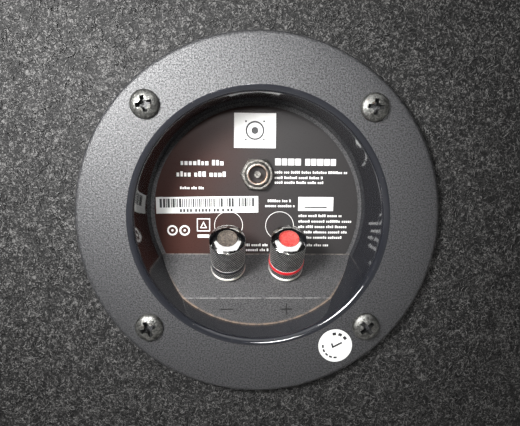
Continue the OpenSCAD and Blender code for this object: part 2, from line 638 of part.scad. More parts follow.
panel_top();
panel_bottom();
panel_left();
panel_right();
rear_panel();
front_baffle();
divider();
carpet_top();
carpet_bottom();
carpet_left();
carpet_right();
carpet_rear();
carpet_front();
window_panel();
window_gasket();
window_screws();
port_left();
port_right();
port_screws();
led_strips();
led_cable();
terminal_cup();
cup_gasket();
cup_screws();
spec_label();
serial_label();
inspection_sticker();
jack_barrel();
jack_nut();
jack_pin();
jack_tags();
post_studs();
post_insulators();
post_nuts();
solder_lugs();
neg_cap();
neg_band();
neg_plug();
neg_clamp_washer();
pos_cap();
pos_band();
pos_plug();
pos_clamp_washer();
speaker_wire_neg();
speaker_wire_pos();
basket();
trim_gasket();
surround();
cone();
dust_cap();
spider();
coil_former();
voice_coil();
top_plate();
magnet();
yoke();
driver_terminals();
tinsel_leads();
driver_screws();
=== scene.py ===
"""Looks of a carpeted bandpass car subwoofer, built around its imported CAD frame.

Lengths are in millimetres until a piece is made. The row frame has +Z up, and the panel with the
terminal cup faces -Y. The cup's own frame has X to the right, Y up and Z out of the panel.
"""

import random
from math import asin, atan2, cos, degrees, hypot, pi, radians, sin, sqrt, tan

import bpy
import numpy as np
from mathutils import Matrix, Vector


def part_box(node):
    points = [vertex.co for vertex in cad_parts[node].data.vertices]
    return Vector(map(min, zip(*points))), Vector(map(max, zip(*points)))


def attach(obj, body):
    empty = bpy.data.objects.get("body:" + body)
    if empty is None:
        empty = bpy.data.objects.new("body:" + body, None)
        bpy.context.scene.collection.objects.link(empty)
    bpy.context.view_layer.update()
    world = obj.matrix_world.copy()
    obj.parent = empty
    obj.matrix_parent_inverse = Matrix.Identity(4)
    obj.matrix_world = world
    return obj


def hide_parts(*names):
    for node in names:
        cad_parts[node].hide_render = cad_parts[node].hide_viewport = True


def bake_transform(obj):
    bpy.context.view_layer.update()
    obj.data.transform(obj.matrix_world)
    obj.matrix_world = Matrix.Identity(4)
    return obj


MM = 0.001
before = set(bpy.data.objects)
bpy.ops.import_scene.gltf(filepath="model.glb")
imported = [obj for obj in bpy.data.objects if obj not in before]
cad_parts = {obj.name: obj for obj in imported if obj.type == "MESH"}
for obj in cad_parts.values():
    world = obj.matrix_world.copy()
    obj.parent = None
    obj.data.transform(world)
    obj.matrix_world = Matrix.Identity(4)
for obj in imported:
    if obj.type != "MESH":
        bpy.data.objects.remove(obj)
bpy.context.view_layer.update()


def new_mesh(name, points, faces):
    mesh = bpy.data.meshes.new(name)
    mesh.from_pydata(points, [], faces)
    return mesh


def new_object(name, data):
    one = bpy.data.objects.new(name, data)
    bpy.context.scene.collection.objects.link(one)
    return one


# ---- Places, from the frame ----


def axes_at(origin, x, z):
    """The matrix of a frame with these X and Z directions."""
    x, z = Vector(x), Vector(z)
    y = z.cross(x)
    return Matrix([[x[i], y[i], z[i], origin[i]] for i in range(3)] + [[0, 0, 0, 1]])


cup_low, cup_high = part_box("terminal_cup")
CUP_ORIGIN = Vector(((cup_low.x + cup_high.x) / 2, cup_low.y, (cup_low.z + cup_high.z) / 2))
CUP = axes_at(CUP_ORIGIN, (1, 0, 0), (0, -1, 0))
box_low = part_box("carpet_bottom")[0]
box_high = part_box("carpet_top")[1]
MID_Z = box_high.z / 2
DRIVER = axes_at((0, 0, MID_Z), (1, 0, 0), (0, 1, 0))
ROW = Matrix.Identity(4)

# Terminal cup, in the cup's frame.
FLANGE_R = 53
FLANGE_T = 3
FLANGE_ROUND = 1.3
MOUTH_R = 36.2
MOUTH_ROUND = 1.8
FLOOR_R = 35.4
FLOOR_DEPTH = 23
WALL_T = 1.9
PLATEAU_DEPTH = 10.6
RAMP_TOP = -15.4
RAMP_ANGLE = radians(47)
PLATEAU_TOP = RAMP_TOP - (FLOOR_DEPTH - PLATEAU_DEPTH) / tan(RAMP_ANGLE)
SCREW_SPACING = 64.5
JACK_UP = 11.8
LABEL_R = 34.1
LABEL_FACE = -22.8
LABEL_EDGE = -15.2

# ---- Camera ----

CAMERA_OFFSET = (-5.37, -138.5, 20.91)
CAMERA_YAW = radians(2.28)
CAMERA_PITCH = radians(-7.82)
CAMERA_ROLL = radians(0.63)
CAMERA_LENS = 33.53


def add_camera():
    """The camera stands close to the cup, a little above and to the left of its middle."""
    yaw, pitch, roll = CAMERA_YAW, CAMERA_PITCH, CAMERA_ROLL
    forward = Vector((sin(yaw) * cos(pitch), cos(yaw) * cos(pitch), sin(pitch)))
    right = Vector((cos(yaw), -sin(yaw), 0))
    right = cos(roll) * right + sin(roll) * right.cross(forward)
    data = bpy.data.cameras.new("camera")
    data.lens = CAMERA_LENS
    data.sensor_width = 36
    data.clip_start = 0.005
    camera = new_object("camera", data)
    camera.matrix_world = axes_at(CUP_ORIGIN + Vector(CAMERA_OFFSET) * MM, right, -forward)
    bpy.context.scene.camera = camera


# ---- Materials ----


class Net:
    """One material's nodes around its Principled shader. Sizes are in millimetres."""

    def __init__(self, name, **sockets):
        self.material = bpy.data.materials.new(name)
        self.material.use_nodes = True
        self.tree = self.material.node_tree
        self.shader = self.tree.nodes["Principled BSDF"]
        self.place = self.node("TexCoord").outputs["Object"]
        self.relief = None
        for key, value in sockets.items():
            self.set(key.replace("_", " "), value)

    def feed(self, one, key, value):
        """Gives a node's input a link, a number or a colour, which is a number where it is grey."""
        target = one.inputs[key]
        if isinstance(value, bpy.types.NodeSocket):
            self.tree.links.new(value, target)
        elif target.type == "RGBA":
            target.default_value = (value, value, value, 1) if isinstance(value, float) else (*value, 1)
        else:
            target.default_value = value

    def set(self, socket, value):
        self.feed(self.shader, socket, value)

    def node(self, kind, inputs=(), **props):
        one = self.tree.nodes.new("ShaderNode" + kind)
        for key, value in props.items():
            setattr(one, key, value)
        for key, value in dict(inputs).items():
            self.feed(one, key, value)
        return one

    def noise(self, size, detail=4.0, rough=0.55, distort=0.0, stretch=None):
        """Noise from 0 to 1 whose features are about size millimetres across."""
        place = self.place
        if stretch:
            place = self.node("VectorMath", {0: place, 1: stretch}, operation="MULTIPLY").outputs[0]
        inputs = {"Vector": place, "Scale": 1 / (size * MM), "Detail": detail, "Roughness": rough}
        return self.node("TexNoise", inputs | {"Distortion": distort}).outputs["Fac"]

    def cells(self, size):
        """Distance to the nearest of many random points about size millimetres apart."""
        return self.node("TexVoronoi", {"Vector": self.place, "Scale": 1 / (size * MM)}).outputs["Distance"]

    def math(self, operation, a, b=0.0):
        return self.node("Math", {0: a, 1: b}, operation=operation).outputs[0]

    def times(self, a, b):
        return self.math("MULTIPLY", a, b)

    def plus(self, a, b):
        return self.math("ADD", a, b)

    def span(self, value, low, high, to_low=0.0, to_high=1.0):
        """value's span from low to high, as to_low to to_high, with smooth ends."""
        inputs = dict(enumerate((value, low, high, to_low, to_high)))
        return self.node("MapRange", inputs, interpolation_type="SMOOTHSTEP").outputs[0]

    def mix(self, share, a, b):
        """Colour a where share is 0 and colour b where it is 1."""
        return self.node("Mix", {0: share, 6: a, 7: b}, data_type="RGBA").outputs[2]

    def axes(self):
        """The object's own X, Y and Z in metres."""
        return self.node("SeparateXYZ", {0: self.place}).outputs

    def radius(self):
        """Distance from the object's own Z axis in metres."""
        flat = self.node("VectorMath", {0: self.place, 1: (1, 1, 0)}, operation="MULTIPLY").outputs[0]
        return self.node("VectorMath", {0: flat}, operation="LENGTH").outputs["Value"]

    def near_line(self, value, middle, half):
        """1 where value in metres is middle, in millimetres, and 0 from half millimetres away."""
        away = self.math("ABSOLUTE", self.math("SUBTRACT", value, middle * MM))
        return self.span(away, 0.3 * half * MM, half * MM, 1.0, 0.0)

    def finish(self, color, rough=None, *reliefs):
        """The material, with rough as the values for span and each relief as (height, depth, strength)."""
        self.set("Base Color", color)
        if rough:
            self.set("Roughness", self.span(*rough))
        for height, depth, *strength in reliefs:
            inputs = {"Height": height, "Distance": depth * MM, "Strength": strength[0] if strength else 1.0}
            if self.relief:
                inputs["Normal"] = self.relief
            self.relief = self.node("Bump", inputs).outputs[0]
        if self.relief:
            self.set("Normal", self.relief)
        return self.material


def grained(name, dark, light, size, rough, depth=0.02, metallic=0.0):
    """A finish whose colour, roughness and relief vary with noise of two sizes."""
    net = Net(name, Metallic=metallic)
    coarse = net.span(net.noise(size * 12, 3.0), 0.35, 0.65)
    fine = net.noise(size, 5.0, 0.6)
    color = net.mix(net.plus(net.times(coarse, 0.5), net.times(fine, 0.5)), dark, light)
    return net.finish(color, (fine, 0.3, 0.7, *rough), (fine, depth))


def carpet_finish():
    """Needled charcoal carpet: dark gaps between tangled lighter fibres."""
    net = Net("carpet", Roughness=0.65, Specular_IOR_Level=0.3)
    tangle = net.noise(0.85, 2.0, 0.7, distort=1.2)
    strands = net.noise(0.4, 2.0, 0.6, distort=0.8)
    patches = net.noise(5.0, 3.0, 0.6)
    share = net.plus(net.times(tangle, 0.62), net.times(strands, 0.38))
    share = net.plus(share, net.times(net.math("SUBTRACT", patches, 0.5), 0.14))
    color = net.mix(net.span(share, 0.42, 0.52), 0.001, (0.014, 0.0137, 0.0134))
    color = net.mix(net.span(share, 0.51, 0.63), color, (0.125, 0.122, 0.119))
    return net.finish(color, None, (share, 0.35, 0.8))


def flange_finish():
    """Spark-textured grey-black ABS with a satin sheen."""
    net = Net("cup_texture", Specular_IOR_Level=1.0)
    grain = net.noise(0.36, 4.0, 0.75)
    color = net.mix(net.span(grain, 0.4, 0.6), (0.009, 0.009, 0.01), (0.044, 0.044, 0.047))
    net.set("Specular IOR Level", net.span(net.noise(0.45, 2.0, 0.6), 0.36, 0.6, 0.35, 1.0))
    return net.finish(color, (grain, 0.35, 0.65, 0.4, 0.52), (grain, 0.1), (net.cells(0.6), 0.04))


def floor_finish():
    """The cup's textured floor, ramp and plateau, with pale worn edges and brown dust."""
    net = Net("cup_floor_texture")
    up = net.axes()[1]
    grain = net.noise(0.34, 3.0, 0.6)
    patchy = net.span(net.noise(1.6, 4.0), 0.3, 0.62)
    worn = net.times(net.near_line(up, PLATEAU_TOP, 0.16), patchy)
    dusty = net.times(net.near_line(up, RAMP_TOP, 0.3), patchy)
    rim = net.times(net.span(net.radius(), 0.0351, 0.0357), net.span(up, -0.018, -0.03))
    rim = net.times(rim, net.span(net.noise(1.2, 4.0), 0.25, 0.6))
    color = net.mix(net.span(grain, 0.38, 0.62), (0.018, 0.018, 0.02), (0.084, 0.082, 0.082))
    color = net.mix(net.times(worn, 0.7), color, (0.36, 0.35, 0.34))
    color = net.mix(net.times(dusty, 0.6), color, (0.26, 0.22, 0.19))
    color = net.mix(net.times(rim, 0.75), color, (0.27, 0.19, 0.13))
    return net.finish(color, (grain, 0.3, 0.7, 0.45, 0.62), (grain, 0.09, 0.8))


def gloss_finish():
    """Polished blue-black mouth and wall, with a few dust specks and faint rubs."""
    net = Net("cup_gloss", Specular_IOR_Level=0.6)
    dust = net.span(net.cells(1.7), 0.06, 0.1, 1.0, 0.0)
    dust = net.times(dust, net.span(net.noise(6, 2.0), 0.5, 0.62))
    rubs = net.span(net.noise(3.0, 6.0, 0.7, distort=1.0), 0.45, 0.75)
    color = net.mix(net.times(dust, 0.5), (0.016, 0.017, 0.021), (0.22, 0.2, 0.17))
    return net.finish(color, (rubs, 0.0, 1.0, 0.07, 0.2), (net.noise(5.0, 2.0), 0.03))


def label_finish():
    """Satin printed film, dark warm grey with a painted reddish reflection that grows towards the left, and
    fine scuffs.
    """
    net = Net("label_film", Specular_IOR_Level=0.1)
    grain = net.noise(0.35, 3.0)
    # Painted reflection: the film's colour turns redder towards the left.
    reflection_fade = net.span(net.plus(net.axes()[0], net.times(net.noise(22, 2.0), 0.02)), -0.02, 0.022)
    film_with_reflection = net.mix(reflection_fade, (0.044, 0.017, 0.013), (0.036, 0.034, 0.034))
    scuff = net.span(net.noise(0.6, 8.0, 0.8, distort=2.0), 0.62, 0.8)
    color = net.mix(net.times(scuff, 0.3), film_with_reflection, (0.2, 0.18, 0.17))
    return net.finish(color, (grain, 0.3, 0.7, 0.26, 0.4), (grain, 0.012))


def steel_finish(name, dark, light, rust=0.0, rough=(0.25, 0.5)):
    """Worn plated steel with scratches and, where rust is above 0, brown in the hollows."""
    net = Net(name, Metallic=0.9)
    wear = net.span(net.noise(0.9, 7.0, 0.72, distort=0.6), 0.35, 0.68)
    scratch = net.noise(0.25, 4.0, 0.7, stretch=(1, 6, 1))
    color = net.mix(wear, dark, light)
    if rust:
        stain = net.span(net.noise(1.3, 5.0, 0.65), 0.62 - 0.2 * rust, 0.78 - 0.2 * rust)
        color = net.mix(net.times(stain, 0.8), color, (0.12, 0.045, 0.015))
    return net.finish(color, (scratch, 0.3, 0.7, *rough), (scratch, 0.02), (wear, 0.03))


def knurl_finish():
    """Black nickel that is worn bright on the knurl's points and dark in its grooves."""
    net = Net("knurled_nickel", Metallic=0.7)
    wear = net.span(net.noise(1.2, 5.0), 0.3, 0.65)
    point = net.span(net.radius(), 0.00542, 0.00554)
    bright = net.times(point, net.plus(net.times(wear, 0.6), 0.4))
    color = net.mix(bright, (0.03, 0.03, 0.032), (0.62, 0.61, 0.59))
    return net.finish(color, (wear, 0.0, 1.0, 0.34, 0.48), (net.noise(0.15, 3.0), 0.008))


def plug_finish(name, dark, light):
    """Rough plastic with dust caught in its scratches."""
    net = Net(name)
    grime = net.span(net.noise(0.55, 4.0, 0.7, distort=1.5), 0.4, 0.6)
    return net.finish(net.mix(grime, dark, light), (grime, 0.0, 1.0, 0.4, 0.75), (grime, 0.1))


def chrome_finish():
    """Bright polished nickel with faint hairlines."""
    net = Net("polished_nickel", Metallic=1.0)
    smear = net.span(net.noise(0.8, 5.0), 0.35, 0.7)
    color = net.mix(smear, (0.62, 0.61, 0.59), (0.78, 0.77, 0.75))
    return net.finish(color, (smear, 0.0, 1.0, 0.05, 0.13), (net.noise(0.3, 3.0, stretch=(1, 5, 1)), 0.002))


def barrel_finish():
    """Nickel barrel with brown rust round the bore's mouth."""
    net = Net("jack_nickel", Metallic=0.9)
    mouth = net.span(net.radius(), 0.0026, 0.0037, 1.0, 0.0)
    patchy = net.span(net.noise(0.9, 5.0, 0.65), 0.3, 0.6)
    clean = net.mix(patchy, (0.12, 0.11, 0.1), (0.34, 0.325, 0.3))
    color = net.mix(net.times(mouth, patchy), clean, (0.2, 0.09, 0.04))
    return net.finish(color, (patchy, 0.0, 1.0, 0.25, 0.45), (net.noise(0.3, 4.0), 0.02))


def mdf_finish():
    """Board with fine fibres pressed flat."""
    dark, light = (0.3, 0.2, 0.12), (0.48, 0.35, 0.22)
    net = Net("mdf", Roughness=0.8)
    fibre = net.noise(0.8, 6.0, 0.7, stretch=(1, 1, 3))
    patch = net.span(net.noise(30, 2.0), 0.35, 0.65)
    color = net.mix(net.span(fibre, 0.35, 0.7), dark, net.mix(net.times(patch, 0.4), dark, light))
    return net.finish(color, None, (fibre, 0.05))


def divider_finish():
    """The divider: black paint where the window shows it, raw board behind."""
    net = Net("divider_board", Roughness=0.7)
    painted = net.span(net.axes()[1], 0.014, 0.0155)
    fibre = net.noise(0.8, 6.0, 0.7)
    share = net.span(fibre, 0.35, 0.7)
    raw = net.mix(share, (0.28, 0.19, 0.11), (0.44, 0.32, 0.2))
    paint = net.mix(share, (0.008, 0.008, 0.009), (0.02, 0.02, 0.021))
    return net.finish(net.mix(painted, raw, paint), None, (fibre, 0.02))


CONE_RING_PITCH = 4.0


def cone_finish():
    """Moulded polypropylene with fine turned rings."""
    net = Net("cone_poly")
    rings = net.math("SINE", net.times(net.radius(), 2 * pi / (CONE_RING_PITCH * MM)))
    color = net.mix(net.span(net.noise(9, 3.0), 0.3, 0.7), (0.03, 0.03, 0.033), (0.055, 0.055, 0.06))
    reliefs = (net.span(rings, -1.0, 1.0), 0.04), (net.noise(0.7, 3.0), 0.03)
    return net.finish(color, (net.noise(0.6, 3.0), 0.3, 0.7, 0.34, 0.5), *reliefs)


def acrylic_finish():
    """Smoke-tinted clear sheet: mostly see-through, with a bright surface and faint hairlines."""
    net = Net("acrylic", Alpha=0.2, IOR=1.9)
    hair = net.noise(1.4, 6.0, 0.75, stretch=(1, 1, 7))
    return net.finish(net.mix(hair, (0.015, 0.017, 0.02), (0.035, 0.037, 0.04)), (hair, 0.3, 0.7, 0.03, 0.09))


def mottled(name, size, detail, dark, light, spread=None, **sockets):
    """A finish with only its colour varied, by the whole of a noise or the spread of it."""
    net = Net(name, **sockets)
    share = net.noise(size, detail)
    return net.finish(net.mix(net.span(share, *spread) if spread else share, dark, light))


MATERIALS = {
    "carpet": carpet_finish(),
    "fibre": mottled("carpet_fibre", 1.5, 2.0, 0.004, (0.15, 0.148, 0.145), (0.35, 0.7),
                     Roughness=0.45, Specular_IOR_Level=0.7),
    "flange": flange_finish(),
    "cup_floor": floor_finish(),
    "gloss": gloss_finish(),
    "label": label_finish(),
    "screw": steel_finish("worn_screw", (0.07, 0.07, 0.066), (0.26, 0.26, 0.245), rust=0.1),
    "black_screw": steel_finish("black_screw", (0.015, 0.015, 0.016), (0.06, 0.06, 0.065)),
    "nut": steel_finish("nut_nickel", (0.07, 0.066, 0.06), (0.27, 0.26, 0.24), 0.3, (0.26, 0.42)),
    "washer": steel_finish("washer_nickel", (0.6, 0.56, 0.48), (0.88, 0.85, 0.78), 0.0, (0.3, 0.45)),
    "barrel": barrel_finish(),
    "knurl": knurl_finish(),
    "chrome": chrome_finish(),
    "red_plug": plug_finish("red_plug", (0.5, 0.012, 0.012), (0.72, 0.11, 0.09)),
    "dusty_plug": plug_finish("dusty_plug", (0.035, 0.027, 0.021), (0.17, 0.14, 0.115)),
    "cone": cone_finish(),
    "acrylic": acrylic_finish(),
    "mdf": mdf_finish(),
    "divider": divider_finish(),
    "lamp": mottled("led_phosphor", 0.3, 3.0, (0.72, 0.5, 0.06), (0.88, 0.74, 0.2),
                    Roughness=0.25, Coat_Weight=0.8),
    "stage": mottled("studio_floor", 60, 3.0, (0.69, 0.68, 0.66), (0.75, 0.74, 0.72), Roughness=0.6),
}

# Each is a dark and a light colour, the grain's size, the two ends of its roughness, and then its depth
# and how metallic it is where they aren't the usual ones.
GRAINED = {
    # Polarity signs: near-black as painted shade, darker than the plateau they stand on.
    "shaded_mark": (0.003, 0.012, 0.6, (0.3, 0.45), 0.01),
    "print": ((0.74, 0.73, 0.71), (0.88, 0.87, 0.85), 0.4, (0.4, 0.55), 0.004),
    "paper": ((0.74, 0.74, 0.72), (0.86, 0.86, 0.84), 0.3, (0.55, 0.7), 0.008),
    "ink": ((0.008, 0.008, 0.009), (0.025, 0.025, 0.027), 0.3, (0.4, 0.55), 0.004),
    # Near-black painted shade inside the screws' cross recesses.
    "recess": (0.002, 0.012, 0.4, (0.5, 0.7), 0.03),
    "insulator": ((0.01, 0.01, 0.011), (0.025, 0.025, 0.027), 0.6, (0.3, 0.45)),
    "red": ((0.62, 0.008, 0.018), (0.8, 0.016, 0.026), 0.8, (0.3, 0.42), 0.01),
    "black_ring": ((0.012, 0.012, 0.016), (0.03, 0.03, 0.036), 0.6, (0.3, 0.45), 0.01),
    "foam": (0.012, 0.03, 0.5, (0.8, 0.95), 0.1),
    "rubber": ((0.01, 0.01, 0.011), (0.022, 0.022, 0.024), 0.7, (0.5, 0.65), 0.03),
    "surround": ((0.012, 0.012, 0.013), (0.026, 0.026, 0.028), 0.9, (0.42, 0.56)),
    "port": ((0.018, 0.018, 0.02), (0.04, 0.04, 0.043), 0.6, (0.42, 0.6), 0.05),
    "board": ((0.7, 0.7, 0.68), (0.82, 0.82, 0.8), 0.5, (0.3, 0.45), 0.01),
    "basket": ((0.012, 0.012, 0.013), (0.028, 0.028, 0.03), 0.5, (0.35, 0.5), 0.03),
    "spider": ((0.42, 0.33, 0.16), (0.62, 0.52, 0.28), 0.5, (0.7, 0.85), 0.08),
    "former": ((0.35, 0.16, 0.03), (0.5, 0.26, 0.06), 0.8, (0.2, 0.3), 0.01),
    "copper": ((0.5, 0.2, 0.08), (0.75, 0.36, 0.18), 0.4, (0.25, 0.4), 0.05, 0.9),
    "motor_steel": (0.4, (0.6, 0.6, 0.58), 0.7, (0.25, 0.4), 0.02, 1.0),
    "ferrite": ((0.03, 0.03, 0.032), (0.07, 0.07, 0.073), 0.8, (0.5, 0.7), 0.04),
    "phenolic": ((0.12, 0.06, 0.025), (0.24, 0.13, 0.05), 0.5, (0.4, 0.6)),
    "tinned": ((0.5, 0.47, 0.4), (0.72, 0.7, 0.63), 0.5, (0.25, 0.4), 0.02, 0.95),
    "tinsel": ((0.45, 0.3, 0.16), (0.75, 0.58, 0.36), 0.25, (0.35, 0.5), 0.06, 0.9),
    "wire_black": (0.01, 0.03, 0.8, (0.35, 0.5)),
    "wire_red": ((0.35, 0.01, 0.01), (0.5, 0.03, 0.03), 0.8, (0.35, 0.5)),
}
for key, row in GRAINED.items():
    MATERIALS[key] = grained(key, *row)

CAD_FINISHES = {
    "mdf": "panel_top panel_bottom panel_left panel_right rear_panel front_baffle",
    "divider": "divider",
    "foam": "window_gasket cup_gasket",
    "acrylic": "window_panel",
    "wire_black": "led_cable speaker_wire_neg",
    "wire_red": "speaker_wire_pos",
    "nut": "jack_pin",
    "tinned": "jack_tags solder_lugs",
    "chrome": "post_studs post_nuts",
    "insulator": "post_insulators",
    "basket": "basket",
    "motor_steel": "top_plate yoke",
    "ferrite": "magnet",
    "former": "coil_former",
    "copper": "voice_coil",
    "phenolic": "driver_terminals",
}


def finish_cad_nodes():
    """Gives every CAD node that stays in view its material."""
    for key, names in CAD_FINISHES.items():
        for name in names.split():
            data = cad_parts[name].data
            data.materials.clear()
            data.materials.append(MATERIALS[key])


# ---- Mesh tools ----


def spin(axis, turn):
    """A turn about an axis, in degrees."""
    return Matrix.Rotation(radians(turn), 4, axis)


def moved(x=0, y=0, z=0, turn=0.0):
    """A move in millimetres after a turn about Z in degrees."""
    return Matrix.Translation((x, y, z)) @ spin("Z", turn)


def shifted(part, matrix):
    """A part, which is a pair of points and faces, put through a matrix."""
    return [tuple(matrix @ Vector(p)) for p in part[0]], part[1]


class Build:
    """Collects parts in millimetres into one mesh."""

    def __init__(self):
        self.points, self.faces, self.slots = [], [], []

    def add(self, part, matrix=None, slot=0):
        points, faces = shifted(part, matrix) if matrix else part
        start = len(self.points)
        self.points += points
        self.faces += [[start + i for i in face] for face in faces]
        self.slots += [slot] * len(faces) if isinstance(slot, int) else slot
        return self

    def piece(self, name, keys, place=ROW, body="root", sharp=35, slot=None, replaces=""):
        """Makes the mesh object, in metres, riding on body. keys and replaces hold several words."""
        mesh = new_mesh(name, [tuple(c * MM for c in p) for p in self.points], self.faces)
        for key in keys.split():
            mesh.materials.append(MATERIALS[key])
        mesh.polygons.foreach_set("material_index", self.slots)
        mesh.validate()
        mesh.shade_smooth()
        mesh.set_sharp_from_angle(angle=radians(sharp))
        one = new_object(name, mesh)
        one.matrix_world = place
        if body:
            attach(one, body)
        if replaces:
            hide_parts(*replaces.split())
        return one


def arc(cx, cz, radius, start, end, steps):
    """Points of (radius, height) along an arc, in degrees."""
    turns = [radians(start + (end - start) * k / steps) for k in range(steps + 1)]
    return [(cx + radius * cos(t), cz + radius * sin(t)) for t in turns]


def quads(rows, loop=False):
    """Faces between rows of point numbers that close on themselves. A row may be a single point."""
    faces = []
    for a, b in list(zip(rows, rows[1:])) + ([(rows[-1], rows[0])] if loop else []):
        for k in range(max(len(a), len(b))):
            corners = [a[k % len(a)], a[(k + 1) % len(a)], b[(k + 1) % len(b)], b[k % len(b)]]
            faces.append(list(dict.fromkeys(corners)))
    return faces


def lathe(profile, segments=144, loop=True, bend=None):
    """Turns a profile of (radius, height) about Z. bend(radius, turn, height) may move a point in or out."""
    points, rows = [], []
    for r, z in profile:
        if abs(r) < 1e-9:
            rows.append([len(points)])
            points.append((0, 0, z))
            continue
        rows.append(list(range(len(points), len(points) + segments)))
        for k in range(segments):
            turn = 2 * pi * k / segments
            radius = bend(r, turn, z) if bend else r
            points.append((radius * cos(turn), radius * sin(turn), z))
    return points, quads(rows, loop)


def block(x0, x1, y0, y1, z0, z1):
    """A box between two corners."""
    points = [(x, y, z) for z in (z0, z1) for y in (y0, y1) for x in (x0, x1)]
    faces = [[0, 2, 3, 1], [4, 5, 7, 6], [0, 1, 5, 4], [2, 6, 7, 3], [0, 4, 6, 2], [1, 3, 7, 5]]
    return points, faces


def prism(outline, z0, z1):
    """A flat shape with the outline's points, anticlockwise, from z0 to z1."""
    n = len(outline)
    points = [(x, y, z) for z in (z0, z1) for x, y in outline]
    low, high = list(range(n)), list(range(n, 2 * n))
    return points, [low[::-1], high] + quads([low, high])


def band(outer, inner, z0, z1):
    """A flat ring between two outlines with the same number of points."""
    n = len(outer)
    rings = (outer, z0), (outer, z1), (inner, z1), (inner, z0)
    points = [(x, y, z) for shape, z in rings for x, y in shape]
    return points, quads([range(k * n, k * n + n) for k in range(4)], loop=True)


def circle(x, y, r, steps=48):
    return arc(x, y, r, 0, 360, steps)[:-1]


def tube(route, radius, sides=8):
    """A closed round tube along a list of points."""
    path = np.array(route, float)
    along = np.gradient(path, axis=0)
    along /= np.linalg.norm(along, axis=1)[:, None]
    side = np.cross(along[0], (0.31, 0.17, 0.93))
    points = []
    for centre, direction in zip(path, along):
        side = side - direction * side.dot(direction)
        side /= np.linalg.norm(side)
        other = np.cross(direction, side)
        for k in range(sides):
            turn = 2 * pi * k / sides
            points.append(tuple(centre + radius * (cos(turn) * side + sin(turn) * other)))
    rows = [list(range(i * sides, i * sides + sides)) for i in range(len(path))]
    return points, [rows[0][::-1], rows[-1]] + quads(rows)


def carved(part, cutters, bevel=0.0):
    """part with the cutters taken away, and its outer edges rounded first by bevel."""
    body, *tools = [new_object("loose", new_mesh("loose", *one)) for one in (part, *cutters)]
    if bevel:
        rounding = body.modifiers.new("round", "BEVEL")
        rounding.width = bevel
        rounding.segments = 5
    for tool in tools:
        cut = body.modifiers.new("cut", "BOOLEAN")
        cut.operation = "DIFFERENCE"
        cut.solver = "EXACT"
        cut.object = tool
    mesh = body.evaluated_get(bpy.context.evaluated_depsgraph_get()).to_mesh()
    result = [tuple(v.co) for v in mesh.vertices], [list(p.vertices) for p in mesh.polygons]
    for one in [body, *tools]:
        bpy.data.objects.remove(one)
    return result


# ---- Terminal cup ----


def cup_depth(up):
    """Depth of the stepped floor at a height above the cup's middle."""
    ramp = PLATEAU_DEPTH + (up - PLATEAU_TOP) * tan(RAMP_ANGLE)
    return min(max(ramp, PLATEAU_DEPTH), FLOOR_DEPTH)


def wall_radius(depth):
    share = (depth - MOUTH_ROUND) / (FLOOR_DEPTH - MOUTH_ROUND)
    return MOUTH_R + (FLOOR_R - MOUTH_R) * share


def wall_foot(turn):
    """Depth at which the wall meets the floor, ramp or plateau in one direction."""
    depth = FLOOR_DEPTH
    for _ in range(40):
        depth = cup_depth(wall_radius(depth) * sin(turn))
    return depth


def cup_turns(count=240):
    """Even directions round the cup, and the four where the ramp's edges meet the wall."""
    corners = []
    for up, depth in ((RAMP_TOP, FLOOR_DEPTH), (PLATEAU_TOP, PLATEAU_DEPTH)):
        turn = asin(up / wall_radius(depth))
        corners += [turn % (2 * pi), (pi - turn) % (2 * pi)]
    even = [2 * pi * k / count for k in range(count)]
    return sorted(corners + [t for t in even if min(abs(t - c) for c in corners) > 0.005])


def cup_shell():
    """Front surface of the cup: flange, rounded mouth and wall as rings, then three flat faces."""
    turns = cup_turns()
    edge = FLANGE_ROUND
    rim = [(FLANGE_R, -FLANGE_T), (FLANGE_R, -edge)] + arc(FLANGE_R - edge, -edge, edge, 15, 90, 5)
    rim += [(r, 0.0) for r in (48, 43, MOUTH_R + MOUTH_ROUND + 0.25)]
    mouth = arc(MOUTH_R + MOUTH_ROUND, -MOUTH_ROUND, MOUTH_ROUND, 90, 180, 10)
    wall_steps = 6
    points = []
    for turn in turns:
        foot = wall_foot(turn)
        wall = [MOUTH_ROUND + (foot - MOUTH_ROUND) * (k + 1) / wall_steps for k in range(wall_steps)]
        column = rim + mouth + [(wall_radius(d), -d) for d in wall]
        points += [(r * cos(turn), r * sin(turn), z) for r, z in column]
    rows = [range(k, len(points), len(column)) for k in range(len(column))]
    faces, feet = quads(rows), rows[-1]
    slots = [0 if n < (len(rim) - 1) * len(turns) else 1 for n in range(len(faces))]
    tiny, far = 1e-4, 40
    for low, high in ((RAMP_TOP, far), (PLATEAU_TOP, RAMP_TOP), (-far, PLATEAU_TOP)):
        ring = [f for f in feet if low - tiny <= points[f][1] <= high + tiny]
        ring.sort(key=lambda f: atan2(points[f][1] - (low + high) / 2, points[f][0]))
        faces.append(ring)
        slots.append(2)
    return (points, faces), slots


def cup_mould():
    part, slots = cup_shell()
    build = Build().add(part, slot=slots)
    cup = build.piece("cup_mould", "flange gloss cup_floor", CUP, "root", 30, "cup_abs", "terminal_cup")
    thick = cup.modifiers.new("wall", "SOLIDIFY")
    thick.thickness = WALL_T * MM
    thick.offset = -1


def polarity_marks():
    """Raised minus and plus signs on the plateau, coloured near-black as painted shade."""
    long, thin = 2.0, 0.17
    minus = [(-long, -thin), (long, -thin), (long, thin), (-long, thin)]
    quarter = [(long, thin), (thin, thin), (thin, long)]
    plus = [(x * sx, y * sy) for sx, sy in ((1, 1), (-1, 1), (-1, -1), (1, -1))
            for x, y in (quarter if sx * sy > 0 else quarter[::-1])]
    build = Build()
    for x, outline in ((-9.6, minus), (9.3, plus)):
        build.add(prism(outline, -PLATEAU_DEPTH - 0.05, -PLATEAU_DEPTH + 0.12), moved(x, -30.6))
    build.piece("polarity_marks", "shaded_mark", CUP, slot="cup_abs")


# ---- Labels ----

